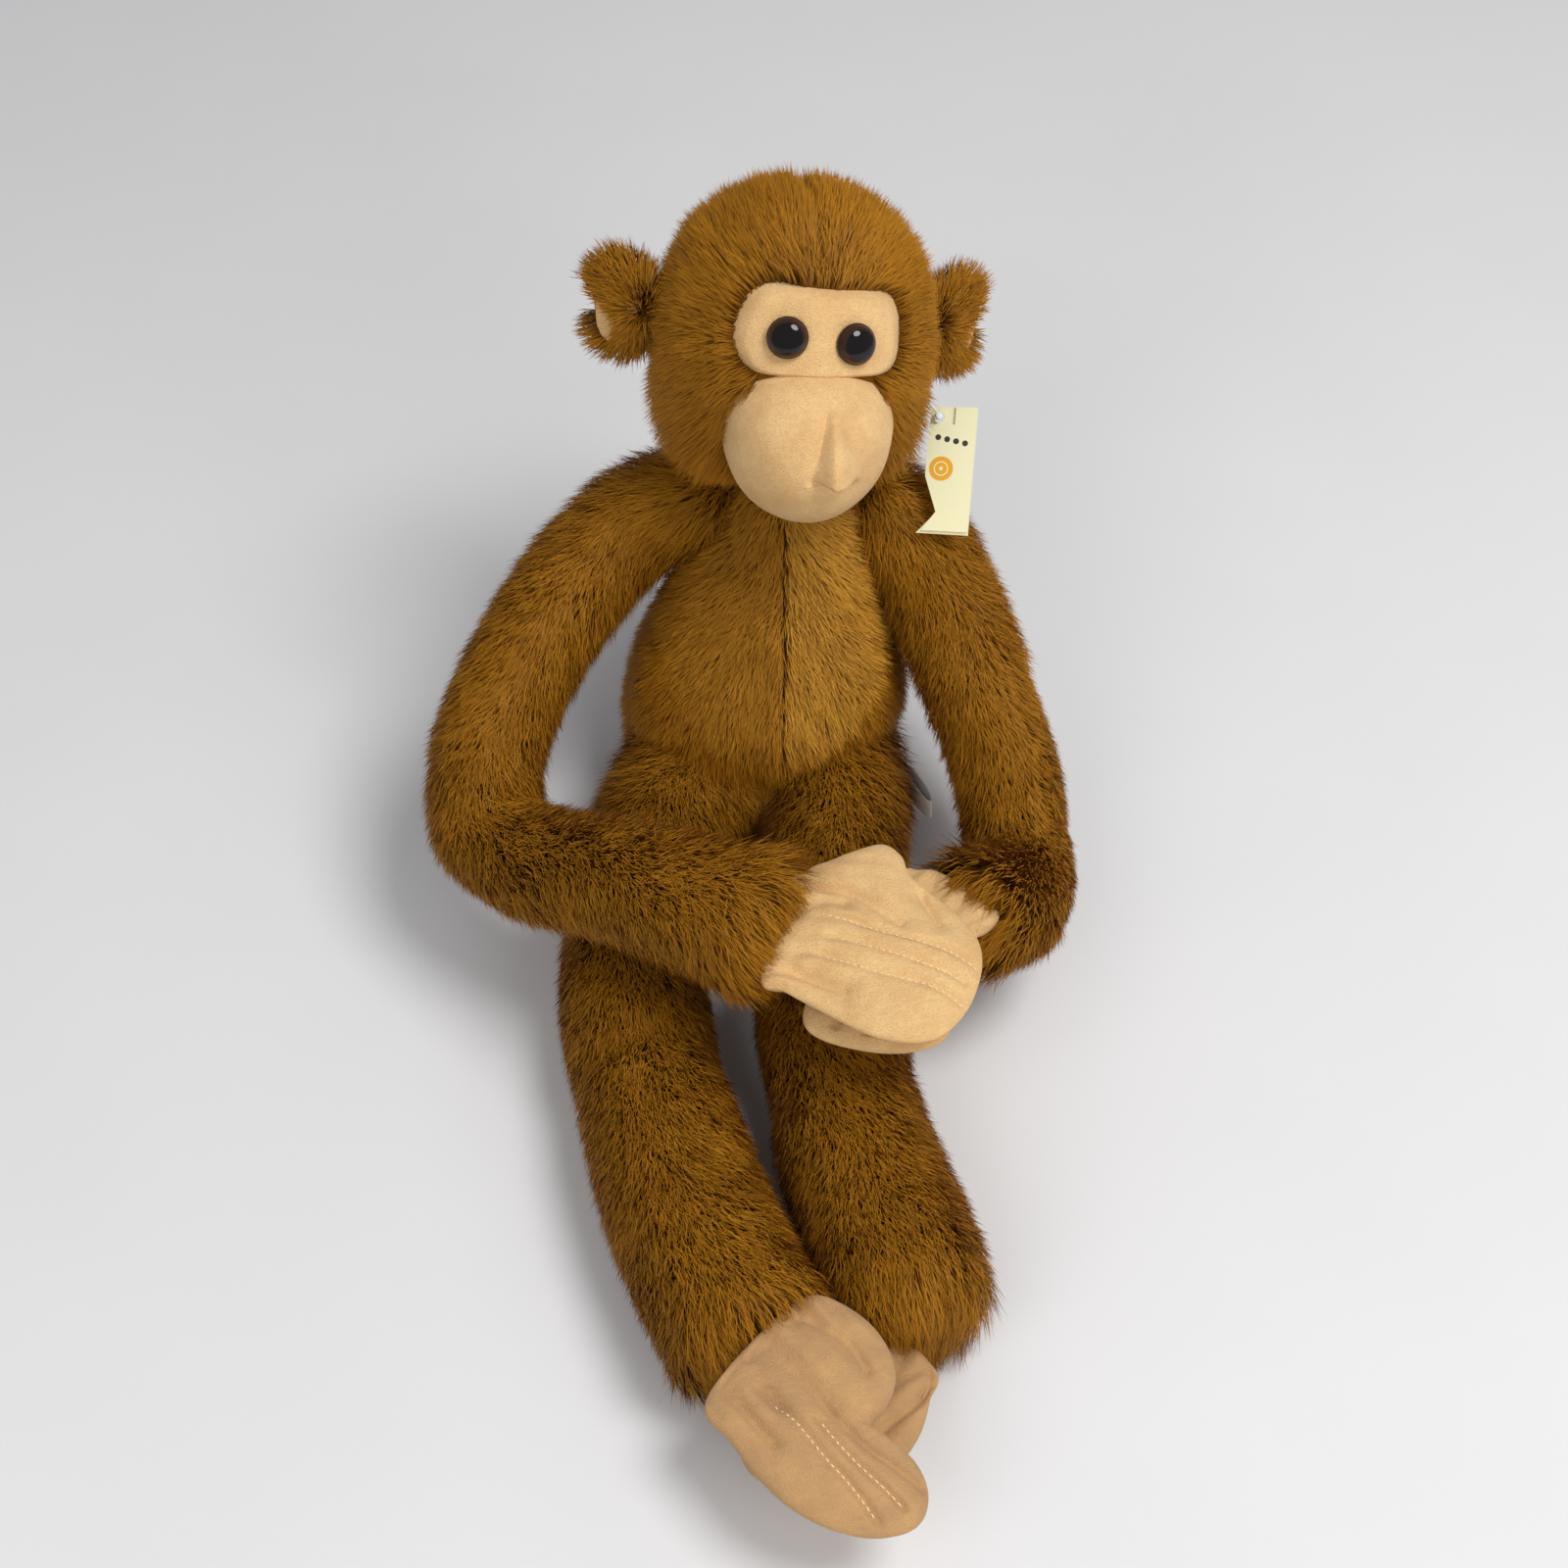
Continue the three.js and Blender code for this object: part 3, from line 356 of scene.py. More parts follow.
def plush_finish(name, colour, turn=(0, 0, 0)):
    """Short cream plush, with clouds and the streaks that brushing leaves along it painted as shade of the
    same cream, and a fine nap.
    """
    plush = setting("monkey_plush")
    made = Finish(name, Roughness=0.85, Sheen_Weight=0.2, Sheen_Roughness=0.45, Specular_IOR_Level=0.15)
    made.surface.inputs["Sheen Tint"].default_value = (1.0, 0.86, 0.66, 1)
    streaks = made.noise(made.places((230, 620, 620), turn), 1.0, 4.0)
    clouds = made.noise(made.places(), 85.0, 3.0)
    nap = made.noise(made.places((1100, 2400, 2400), turn), 1.0, 3.0)
    # Clouds and streaks mix the cream with its painted-shade copy.
    share = made.ramp(clouds * 0.7 + streaks * 0.3, (0.32, (0, 0, 0)), (0.66, (1, 1, 1)))
    base = made.between(share, mixed(colour, plush.shade, 0.75), colour)
    deep = mixed(plush.shade, (0.3, 0.13, 0.05), 0.3)
    flecks = made.ramp(nap, (0.34, (0, 0, 0)), (0.52, (1, 1, 1)))
    made.set("Base Color", made.between(flecks * 0.45 + 0.55, deep, base))
    made.set("Roughness", 0.75 + nap * 0.2)
    made.bump(nap * 0.8 + streaks * 0.35, 0.0008, 0.8)
    return made.material


def thread_finish(name, colour):
    made = Finish(name, Roughness=0.6, Sheen_Weight=0.2)
    twist = made.noise(made.places((3000, 3000, 3000)), 1.0, 1.0)
    made.set("Base Color", made.between(twist, mixed(colour, (0, 0, 0), 0.2), colour))
    made.bump(twist, 0.0001, 0.5)
    return made.material


def eye_finish(name):
    """Black domed plastic with a brown ring near its rim."""
    eyes = setting("monkey_eyes")
    made = Finish(name, Roughness=0.06, Coat_Weight=0.15, Coat_Roughness=0.02, Specular_IOR_Level=0.3)
    ring = made.stored("ring")[0]
    scuffs = made.noise(made.places(), 900.0, 2.0)
    black = (0.004, 0.003, 0.003)
    iris = made.ramp(ring, (0.0, black), (1.0, mixed(eyes.rim, black, 0.4)), (0.70, black), (0.80, eyes.rim))
    made.set("Base Color", made.between(scuffs * 0.15, iris, (0.03, 0.02, 0.015)))
    made.set("Roughness", 0.03 + scuffs * 0.05)
    return made.material


def card_finish(name, printed):
    """Pale card; the cover carries a plain ring ornament under a row of four dots."""
    tag = setting("monkey_tag")
    made = Finish(name, Roughness=0.42, Specular_IOR_Level=0.4)
    grain = made.noise(made.places((2500, 2500, 2500)), 1.0, 2.0)
    cloud = made.noise(made.places(), 60.0)
    base = made.between(grain * 0.3 + cloud * 0.3, tag.card, mixed(tag.card, (1, 1, 0.85), 0.4))
    if printed:
        spot = made.node("ShaderNodeTexCoord", {}, {}, "Object")
        turn = CARD_AT.to_euler("XYZ")
        local = made.node("ShaderNodeMapping", {"vector_type": "TEXTURE"},
                          {"Vector": spot, "Location": tuple(CARD_AT.translation), "Rotation": tuple(turn)})
        across, up = (made.node("ShaderNodeSeparateXYZ", {}, {"Vector": local}, k) for k in (0, 2))

        def reach(centre):
            gap_x, gap_z = across - centre[0], up - centre[1]
            return made.node("ShaderNodeMath", {"operation": "SQRT"}, {0: gap_x * gap_x + gap_z * gap_z})

        for radius, wide in ((0.0036, 0.0009), (0.0015, 0.0008)):
            gap = reach((0.0022, -0.0190)) - radius
            off = made.node("ShaderNodeMath", {"operation": "ABSOLUTE"}, {0: gap})
            base = made.between(1 - (off > wide), base, tag.ornament)
        for k in range(4):
            dot = reach((0.0002 + 0.0034 * k, -0.0075 - 0.0006 * k))
            base = made.between(1 - (dot > 0.0011), base, (0.05, 0.045, 0.04))
    made.set("Base Color", base)
    made.set("Roughness", 0.36 + grain * 0.2)
    made.bump(grain, 0.00005, 0.5)
    return made.material


def satin_finish(name, colour):
    made = Finish(name, Roughness=0.4, Sheen_Weight=0.3)
    ribs = made.node("ShaderNodeTexWave", {"bands_direction": "Z"},
                     {"Vector": made.places(), "Scale": 900.0, "Distortion": 1.5})
    rib = made.node("ShaderNodeSeparateColor", {}, {"Color": ribs}, 0)
    cloud = made.noise(made.places(), 90.0)
    made.set("Base Color", made.between(rib * 0.3 + cloud * 0.4, mixed(colour, (0, 0, 0), 0.22), colour))
    made.set("Roughness", 0.35 + cloud * 0.2)
    made.bump(rib, 0.0001, 0.6)
    return made.material


def plastic_finish(name, colour, rough):
    made = Finish(name, Roughness=rough, Specular_IOR_Level=0.5)
    grain = made.noise(made.places(), 1500.0, 2.0)
    made.set("Base Color", made.between(grain * 0.4, colour, mixed(colour, (0.5, 0.5, 0.5), 0.3)))
    made.set("Roughness", rough - 0.05 + grain * 0.15)
    made.bump(grain, 0.00003, 0.4)
    return made.material


def finish(name):
    """A named finish, made the first time that it is asked for."""
    if name in bpy.data.materials:
        return bpy.data.materials[name]
    fur, plush = setting("monkey_fur"), setting("monkey_plush")
    makers = {
        "brown_pile": lambda: fur_finish(name, fur.tip),
        # The belly's two halves share one golden pile: the left half's copy is kept light as painted light,
        # the right half's copy is darkened towards the brown tip as painted shade.
        "golden_pile_lit": lambda: fur_finish(name, fur.belly_tip),
        "golden_pile_shaded": lambda: fur_finish(name, mixed(fur.tip, fur.belly_tip, 0.25)),
        "brown_backing": lambda: backing_finish(name, mixed(fur.root, fur.middle, 0.7)),
        "face_plush": lambda: plush_finish(name, plush.colour, (0, math.radians(80), 0)),
        "mitt_plush": lambda: plush_finish(name, plush.colour, (0, 0, math.radians(20))),
        # The feet's darker plush colour is painted shade.
        "foot_plush_shaded": lambda: plush_finish(name, plush.shaded_foot, (0, 0, math.radians(57))),
        "mitt_thread": lambda: thread_finish(name, plush.stitch),
        "eye_gloss": lambda: eye_finish(name),
        "washer_plastic_white": lambda: plastic_finish(name, (0.75, 0.75, 0.72), 0.5),
        "filament_plastic": lambda: plastic_finish(name, (0.85, 0.85, 0.82), 0.25),
        "tag_front": lambda: card_finish(name, True),
        "tag_back": lambda: card_finish(name, False),
        "label_white": lambda: satin_finish(name, (0.88, 0.86, 0.82)),
    }
    return makers[name]()


# ---------- mesh tools ----------
def choose(obj):
    """Makes obj the only selected and active object."""
    bpy.ops.object.select_all(action="DESELECT")
    obj.select_set(True)
    bpy.context.view_layer.objects.active = obj


def finish_with(obj, kind, **settings):
    """Adds a modifier and applies it."""
    choose(obj)
    modifier = obj.modifiers.new(kind.lower(), kind)
    for key, value in settings.items():
        setattr(modifier, key, value)
    bpy.ops.object.modifier_apply(modifier=modifier.name)


def dress(obj, material):
    obj.data.materials.clear()
    obj.data.materials.append(finish(material))
    return obj


def joined_copy(name, nodes):
    """One welded mesh made from copies of CAD nodes."""
    copies = []
    for node in nodes:
        twin = frame["nodes"][node].copy()
        twin.data = twin.data.copy()
        twin.parent = None
        twin.hide_render = twin.hide_viewport = False
        for key in list(twin.keys()):
            del twin[key]
        bpy.context.scene.collection.objects.link(twin)
        copies.append(twin)
    bpy.ops.object.select_all(action="DESELECT")
    for twin in copies:
        twin.select_set(True)
    bpy.context.view_layer.objects.active = copies[0]
    if len(copies) > 1:
        bpy.ops.object.join()
    made = bpy.context.view_layer.objects.active
    made.name = made.data.name = name
    bpy.ops.object.mode_set(mode="EDIT")
    bpy.ops.mesh.select_all(action="SELECT")
    bpy.ops.mesh.remove_doubles(threshold=0.00001)
    bpy.ops.object.mode_set(mode="OBJECT")
    return made


def keep_largest(obj):
    """Drops every loose part but the one with the most vertices."""
    choose(obj)
    bpy.ops.object.mode_set(mode="EDIT")
    bpy.ops.mesh.select_all(action="SELECT")
    bpy.ops.mesh.separate(type="LOOSE")
    bpy.ops.object.mode_set(mode="OBJECT")
    parts = sorted(bpy.context.selected_objects, key=lambda o: len(o.data.vertices))
    largest = parts.pop()
    name = obj.name
    for part in parts:
        bpy.data.objects.remove(part)
    largest.name = name
    return largest


def soft_skin(name, nodes, inset, voxel=0.0036):
    """The backing fabric over some CAD solids, smoothed and drawn in under the pile."""
    skin = joined_copy(name, nodes)
    finish_with(skin, "REMESH", mode="VOXEL", voxel_size=voxel)
    skin = keep_largest(skin)
    finish_with(skin, "SMOOTH", factor=0.5, iterations=8)
    finish_with(skin, "DISPLACE", strength=-inset, mid_level=0.0, direction="NORMAL")
    finish_with(skin, "SMOOTH", factor=0.5, iterations=4)
    skin.data.shade_smooth()
    return skin


def unit(vectors):
    return vectors / np.maximum(np.linalg.norm(vectors, axis=1, keepdims=True), 1e-9)


def read_surface(obj):
    """Triangles, vertex places and vertex normals of a mesh, as arrays."""
    mesh = obj.data
    mesh.calc_loop_triangles()
    corners = np.zeros(len(mesh.loop_triangles) * 3, np.int32)
    mesh.loop_triangles.foreach_get("vertices", corners)
    places = np.zeros(len(mesh.vertices) * 3, np.float32)
    mesh.vertices.foreach_get("co", places)
    normals = np.zeros(len(mesh.vertices) * 3, np.float32)
    mesh.vertex_normals.foreach_get("vector", normals)
    return corners.reshape(-1, 3), places.reshape(-1, 3).astype(float), normals.reshape(-1, 3).astype(float)


def roots_on(obj, per_area, seed):
    """Points spread evenly over a mesh, with the surface normal at each."""
    corners, places, normals = read_surface(obj)
    a, b, c = (places[corners[:, k]] for k in range(3))
    area = np.linalg.norm(np.cross(b - a, c - a), axis=1) / 2
    rng = np.random.default_rng(seed)
    count = int(area.sum() * per_area)
    pick = rng.choice(len(area), count, p=area / area.sum())
    u, v = rng.random(count), rng.random(count)
    over = u + v > 1
    u[over], v[over] = 1 - u[over], 1 - v[over]
    w = 1 - u - v
    points = a[pick] * w[:, None] + b[pick] * u[:, None] + c[pick] * v[:, None]
    facing = (normals[corners[pick, 0]] * w[:, None] + normals[corners[pick, 1]] * u[:, None]
              + normals[corners[pick, 2]] * v[:, None])
    return points, unit(facing), rng


def drift(points, size, seed):
    """Smoothly wandering vectors in space."""
    lattice = np.random.default_rng(seed).uniform(-1, 1, (24, 24, 24, 3))
    spot = points / size
    low = np.floor(spot).astype(int)
    part = spot - low
    part = part * part * (3 - 2 * part)
    total = np.zeros_like(points)
    for step in itertools.product((0, 1), repeat=3):
        share = np.ones(len(points))
        for k in range(3):
            share = share * (part[:, k] if step[k] else 1 - part[:, k])
        total += share[:, None] * lattice[tuple(((low + step) % 24).T)]
    return total


def tufts(points, size, seed):
    """The centre of the tuft that each point belongs to, and the tuft's own random vector."""
    rng = np.random.default_rng(seed)
    jitter = rng.random((32, 32, 32, 3))
    lean = rng.uniform(-1, 1, (32, 32, 32, 3))
    base = np.floor(points / size).astype(int)
    best = np.full(len(points), np.inf)
    centre, own = np.zeros_like(points), np.zeros_like(points)
    for step in itertools.product((-1, 0, 1), repeat=3):
        cell = base + step
        index = tuple((cell % 32).T)
        candidate = (cell + jitter[index]) * size
        far = ((candidate - points) ** 2).sum(1)
        near = far < best
        best[near], centre[near], own[near] = far[near], candidate[near], lean[index][near]
    return centre, own


def flat_part(vectors, normals):
    return vectors - normals * (vectors * normals).sum(1, keepdims=True)


def raw_mesh(name, places, starts, loops):
    """A mesh object from arrays, quickly."""
    mesh = bpy.data.meshes.new(name)
    mesh.vertices.add(len(places))
    mesh.vertices.foreach_set("co", places.astype(np.float32).ravel())
    mesh.loops.add(len(loops))
    mesh.loops.foreach_set("vertex_index", loops.astype(np.int32))
    mesh.polygons.add(len(starts))
    mesh.polygons.foreach_set("loop_start", starts.astype(np.int32))
    mesh.update(calc_edges=True)
    obj = bpy.data.objects.new(name, mesh)
    bpy.context.scene.collection.objects.link(obj)
    return obj


def grow_pile(name, skin, comb, keep, material, seed, length=1.0, density=1.0, lay=(24, 52)):
    """Blades of fur rooted on a skin. comb gives the way the pile lies, keep the roots and lengths."""
    fur = setting("monkey_fur")
    points, normals, rng = roots_on(skin, fur.density * density * 1e4, seed)
    share = keep(points, normals)
    chosen = share > 0.05
    points, normals, share = points[chosen], normals[chosen], share[chosen]
    centre, own = tufts(points, TUFT_SIZE, 77)
    way = unit(flat_part(comb(points, normals), normals))
    way = way + 0.34 * drift(points, 0.026, 5) + 0.16 * drift(points, 0.008, 6) + 0.08 * own
    way = way + 0.20 * rng.normal(size=way.shape)
    way = unit(flat_part(way, normals))
    count = len(points)
    size = fur.pile * length * share * (0.80 + 0.32 * rng.random(count) + 0.05 * own[:, 0])
    first = np.radians(lay[0]) + 0.20 * rng.normal(size=count) + 0.05 * own[:, 1]
    second = np.radians(lay[1]) + 0.18 * rng.normal(size=count) + 0.06 * own[:, 2]
    rise = normals * np.cos(first)[:, None] + way * np.sin(first)[:, None]
    over = normals * np.cos(second)[:, None] + way * np.sin(second)[:, None]
    middle = points + rise * (size * 0.5)[:, None]
    tip = middle + over * (size * 0.5)[:, None]
    pull = flat_part(centre - points, normals)
    pull *= np.minimum(1, 0.0035 / np.maximum(np.linalg.norm(pull, axis=1), 1e-9))[:, None]
    middle += 0.03 * pull
    tip += 0.13 * pull
    roll = rng.uniform(-0.9, 0.9, count)
    side = unit(np.cross(way, normals)) * np.cos(roll)[:, None] + normals * np.sin(roll)[:, None]
    half = fur.width / 2
    verts = np.stack([points - side * half, points + side * half, middle - side * half * 0.85,
                      middle + side * half * 0.85, tip], 1)
    verts[:, :, 2] = np.maximum(verts[:, :, 2], 0.0004)
    base = np.arange(count)[:, None] * 5
    loops = (base + np.array([0, 1, 3, 2, 2, 3, 4])).ravel()
    starts = (np.arange(count)[:, None] * 7 + np.array([0, 4])).ravel()
    facing = np.cross(side, over)
    outward = np.sign((facing * normals).sum(1))
    if np.median(outward) < 0:
        loops = (base + np.array([1, 0, 2, 3, 3, 2, 4])).ravel()
    pile = raw_mesh(name, verts.reshape(-1, 3), starts, loops)
    lit = unit(normals + 0.45 * facing * outward[:, None] + 0.12 * own + 0.16 * rng.normal(size=way.shape))
    pile.data.shade_smooth()
    pile.data.normals_split_custom_set_from_vertices(np.repeat(lit, 5, axis=0))
    tone = np.repeat(rng.random(count)[:, None], 5, 1)
    along = np.tile(np.array([0.0, 0.0, 0.5, 0.5, 1.0]), (count, 1))
    tuft = np.repeat((own[:, 0] * 0.5 + 0.5)[:, None], 5, 1)
    colours = np.stack([along, tone, tuft, np.ones_like(along)], 2)
    pile.data.attributes.new("pile", "FLOAT_COLOR", "POINT").data.foreach_set("color", colours.ravel())
    return dress(pile, material)


def rounded_line(points, count, closed=False):
    """Evenly counted points on a smooth curve through the given ones."""
    p = np.array(points, float)
    if closed:
        p = np.vstack([p[-1:], p, p[:2]])
    else:
        p = np.vstack([2 * p[0] - p[1], p, 2 * p[-1] - p[-2]])
    spans = len(p) - 3
    t = np.linspace(0, spans, count + 1)[:-1] if closed else np.linspace(0, spans, count)
    k = np.minimum(t.astype(int), spans - 1)
    f = (t - k)[:, None]
    a, b, c, d = p[k], p[k + 1], p[k + 2], p[k + 3]
    square, cube = 2 * a - 5 * b + 4 * c - d, 3 * b - a - 3 * c + d
    return 0.5 * (2 * b + (c - a) * f + square * f ** 2 + cube * f ** 3)


def route_way(names, points):
    """A limb's direction nearest to each point, the distance over its radius, and the share of its way."""
    line = np.vstack([rounded_line(ROUTES[n], 26)[(1 if k else 0):] for k, n in enumerate(names)])
    middle, radius = line[:, :3] * MM, line[:, 3] * MM
    heading = unit(np.gradient(middle, axis=0))
    far = np.sqrt(((points[:, None, :] - middle[None]) ** 2).sum(2))
    nearest = far.argmin(1)
    return heading[nearest], (far / radius[None]).min(1), nearest / len(line)


def in_torso(points, shrink):
    """Which points lie inside the torso, drawn in by shrink metres."""
    rings = np.array(TORSO, float) * MM
    x, y, wide, deep = (np.interp(points[:, 2], rings[:, 2], rings[:, k]) for k in (0, 1, 3, 4))
    inside = ((points[:, 0] - x) / (wide - shrink)) ** 2 + ((points[:, 1] - y) / (deep - shrink)) ** 2 < 1
    return inside & (points[:, 2] < 0.150)


def head_places(points):
    """Points in the head's own frame, in millimetres."""
    back = np.array(HEAD_AT.inverted())
    return (points @ back[:3, :3].T + back[:3, 3]) / MM


def head_vectors(vectors):
    return vectors @ np.array(HEAD_AT)[:3, :3].T


def in_head(points, share):
    return ((head_places(points) / np.array(HEAD_SIZE)) ** 2).sum(1) < share


def inside_outline(x, z, outline, grow=0.0):
    """Which points of a plane lie inside a closed outline, grown from its middle."""
    rim = rounded_line(outline, 160, True)
    middle = rim.mean(0)
    rim_way = np.arctan2(rim[:, 1] - middle[1], rim[:, 0] - middle[0])
    rim_far = np.linalg.norm(rim - middle, axis=1) + grow
    order = np.argsort(rim_way)
    way = np.arctan2(z - middle[1], x - middle[0])
    limit = np.interp(way, rim_way[order], rim_far[order], period=2 * math.pi)
    return np.hypot(x - middle[0], z - middle[1]) / limit


def polar_sheet(rim, middle, rings):
    """A flat disc from a middle out to a rim: its points, each one's share of the way out, and its faces."""
    around = len(rim)
    shares = np.sin(np.linspace(0, math.pi / 2, rings + 1))[1:]
    plane = np.vstack([middle[None]] + [middle + s * (rim - middle) for s in shares])
    out = np.concatenate([[0.0]] + [np.full(around, s) for s in shares])
    quads, fans = [], []
    for k in range(around):
        n = (k + 1) % around
        fans.append((0, 1 + k, 1 + n))
    for r in range(rings - 1):
        for k in range(around):
            n = (k + 1) % around
            near, far = 1 + r * around, 1 + (r + 1) * around
            quads.append((near + k, far + k, far + n, near + n))
    return plane, out, fans + quads


def mitt_matrix(mitt):
    """Where a mitt's own plane lies in the frame."""
    turn = Matrix.Rotation(math.radians(mitt["turn"] - 90), 4, "Z")
    lift = Matrix.Rotation(math.radians(-mitt["lift"]), 4, "Y")
    place = Matrix.Translation(Vector(mitt["at"]) * MM)
    return place @ turn @ lift @ Matrix.Diagonal((1, mitt["side"], 1, 1))


def near_line(plane, line):
    """Distance from plane points to a smooth line, in millimetres."""
    dense = rounded_line(line, 60)
    return np.sqrt(((plane[:, None, :] - dense[None]) ** 2).sum(2)).min(1)


def mitt_rim(mitt):
    """The closed edge of a mitt and the point that its cloth is drawn from."""
    rim = rounded_line(mitt["outline"], 190, True)
    return rim, np.array((rim[:, 0].mean(), rim[:, 1].mean() * 0.6))


def mitt_height(mitt, plane, share, face):
    """Half thickness of a mitt in millimetres, with its sewn lines and folds pressed in."""
    full = mitt["half"] * np.sqrt(np.maximum(0, 1 - share ** 2.6))
    wave = drift(np.column_stack([plane, np.full(len(plane), 7.0 * face)]) * MM, 0.014, 31)[:, 0]
    small = drift(np.column_stack([plane, np.full(len(plane), 3.0 * face)]) * MM, 0.006, 32)[:, 0]
    body = np.minimum(1, full / 3)
    full = full + body * (0.9 * wave + 0.3 * small)
    gather = np.exp(-np.maximum(plane[:, 0] - 2, 0) / 13)
    full = full + body * gather * 0.9 * np.sin(plane[:, 1] * 0.85 + 2 * wave)
    for line in mitt["lines"]:
        full = full - body * 2.0 * np.exp(-(near_line(plane, line) / 1.4) ** 2)
    for fold in mitt["folds"]:
        gap = near_line(plane, fold)
        full = full - body * (1.9 * np.exp(-(gap / 4.2) ** 2) + 1.5 * np.exp(-(gap / 1.3) ** 2))
    return full


def mitt_droop(mitt, plane):
    """How the whole mitt dips towards its outer edge and tip."""
    return -0.0016 * np.maximum(-plane[:, 1] - 8, 0) ** 2 * (1 if mitt is HAND_RIGHT else 0.3)


def sew_mitt(name, mitt):
    """A flat stuffed mitt with its thumb or big toe, as a closed pillow."""
    rim, middle = mitt_rim(mitt)
    plane, share, faces = polar_sheet(rim, middle, 34)
    count, around = len(plane), len(rim)
    top = np.column_stack([plane, mitt_height(mitt, plane, share, 1) + mitt_droop(mitt, plane)])
    low = np.column_stack([plane, -mitt_height(mitt, plane, share, -1) + mitt_droop(mitt, plane)])
    places = np.vstack([top, low[:count - around]])
    inner = count - around

    def under(i):
        return count + i if i < inner else i

    polygons = list(faces) + [tuple(under(i) for i in reversed(f)) for f in faces]
    mesh = bpy.data.meshes.new(name)
    world = np.array(mitt_matrix(mitt))
    places = (places * MM) @ world[:3, :3].T + world[:3, 3]
    if mitt["side"] < 0:
        polygons = [tuple(reversed(f)) for f in polygons]
    mesh.from_pydata(places.tolist(), [], polygons)
    mesh.update()
    mesh.shade_smooth()
    pad = bpy.data.objects.new(name, mesh)
    bpy.context.scene.collection.objects.link(pad)
    return pad


def stitches(name, mitt):
    """Short raised stitches along a mitt's sewn lines, each one a small six-sided bead."""
    plush = setting("monkey_plush")
    long, gap, thick = plush.stitch_length / MM, 0.5, 0.29
    world = np.array(mitt_matrix(mitt))
    rim, middle = mitt_rim(mitt)
    way = np.arctan2(rim[:, 1] - middle[1], rim[:, 0] - middle[0])
    far = np.linalg.norm(rim - middle, axis=1)
    order = np.argsort(way)
    beads = []
    for face in (1, -1):
        for line in mitt["lines"]:
            dense = rounded_line(line, 400)
            walk = np.concatenate([[0], np.cumsum(np.linalg.norm(np.diff(dense, axis=0), axis=1))])
            starts = np.arange(0.6, walk[-1] - long, long + gap)
            stations = (starts[:, None] + long * np.array([0, 0.2, 0.5, 0.8, 1.0])).ravel()
            spots = np.column_stack([np.interp(stations, walk, dense[:, k]) for k in (0, 1)])
            angle = np.arctan2(spots[:, 1] - middle[1], spots[:, 0] - middle[0])
            limit = np.interp(angle, way[order], far[order], period=2 * math.pi)
            share = np.hypot(*(spots - middle).T) / limit
            height = mitt_height(mitt, spots, np.minimum(share, 0.98), face)
            depth = np.tile([-0.3, 0.18, 0.32, 0.18, -0.3], len(starts))
            z = face * (height + depth) + mitt_droop(mitt, spots)
            beads.append(np.column_stack([spots, z]).reshape(-1, 5, 3))
    beads = np.concatenate(beads)
    tangent = beads[:, -1] - beads[:, 0]
    tangent = tangent / np.linalg.norm(tangent, axis=1, keepdims=True)
    sideways = unit(np.column_stack([-tangent[:, 1], tangent[:, 0], np.zeros(len(tangent))]))
    upward = np.cross(tangent, sideways)
    angles = np.arange(6) * math.pi / 3
    cosine, sine = (part(angles)[None, :, None] for part in (np.cos, np.sin))
    ring = thick * (cosine * sideways[:, None] + sine * upward[:, None])
    taper = np.array([0.35, 0.95, 1.0, 0.95, 0.35])
    verts = beads[:, :, None, :] + taper[None, :, None, None] * ring[:, None]
    verts = (verts.reshape(-1, 3) * MM) @ world[:3, :3].T + world[:3, 3]
    polygons = []
    for b in range(len(beads)):
        base = b * 30
        polygons.append(tuple(base + k for k in range(6))[::-1])
        polygons.append(tuple(base + 24 + k for k in range(6)))
        for r in range(4):
            for k in range(6):
                n = (k + 1) % 6
                low, high = base + r * 6, base + r * 6 + 6
                polygons.append((low + k, low + n, high + n, high + k))
    mesh = bpy.data.meshes.new(name)
    mesh.from_pydata(verts.tolist(), [], polygons)
    if mitt["side"] < 0:
        mesh.flip_normals()
    mesh.shade_smooth()
    obj = bpy.data.objects.new(name, mesh)
    bpy.context.scene.collection.objects.link(obj)
    return dress(obj, "mitt_thread")


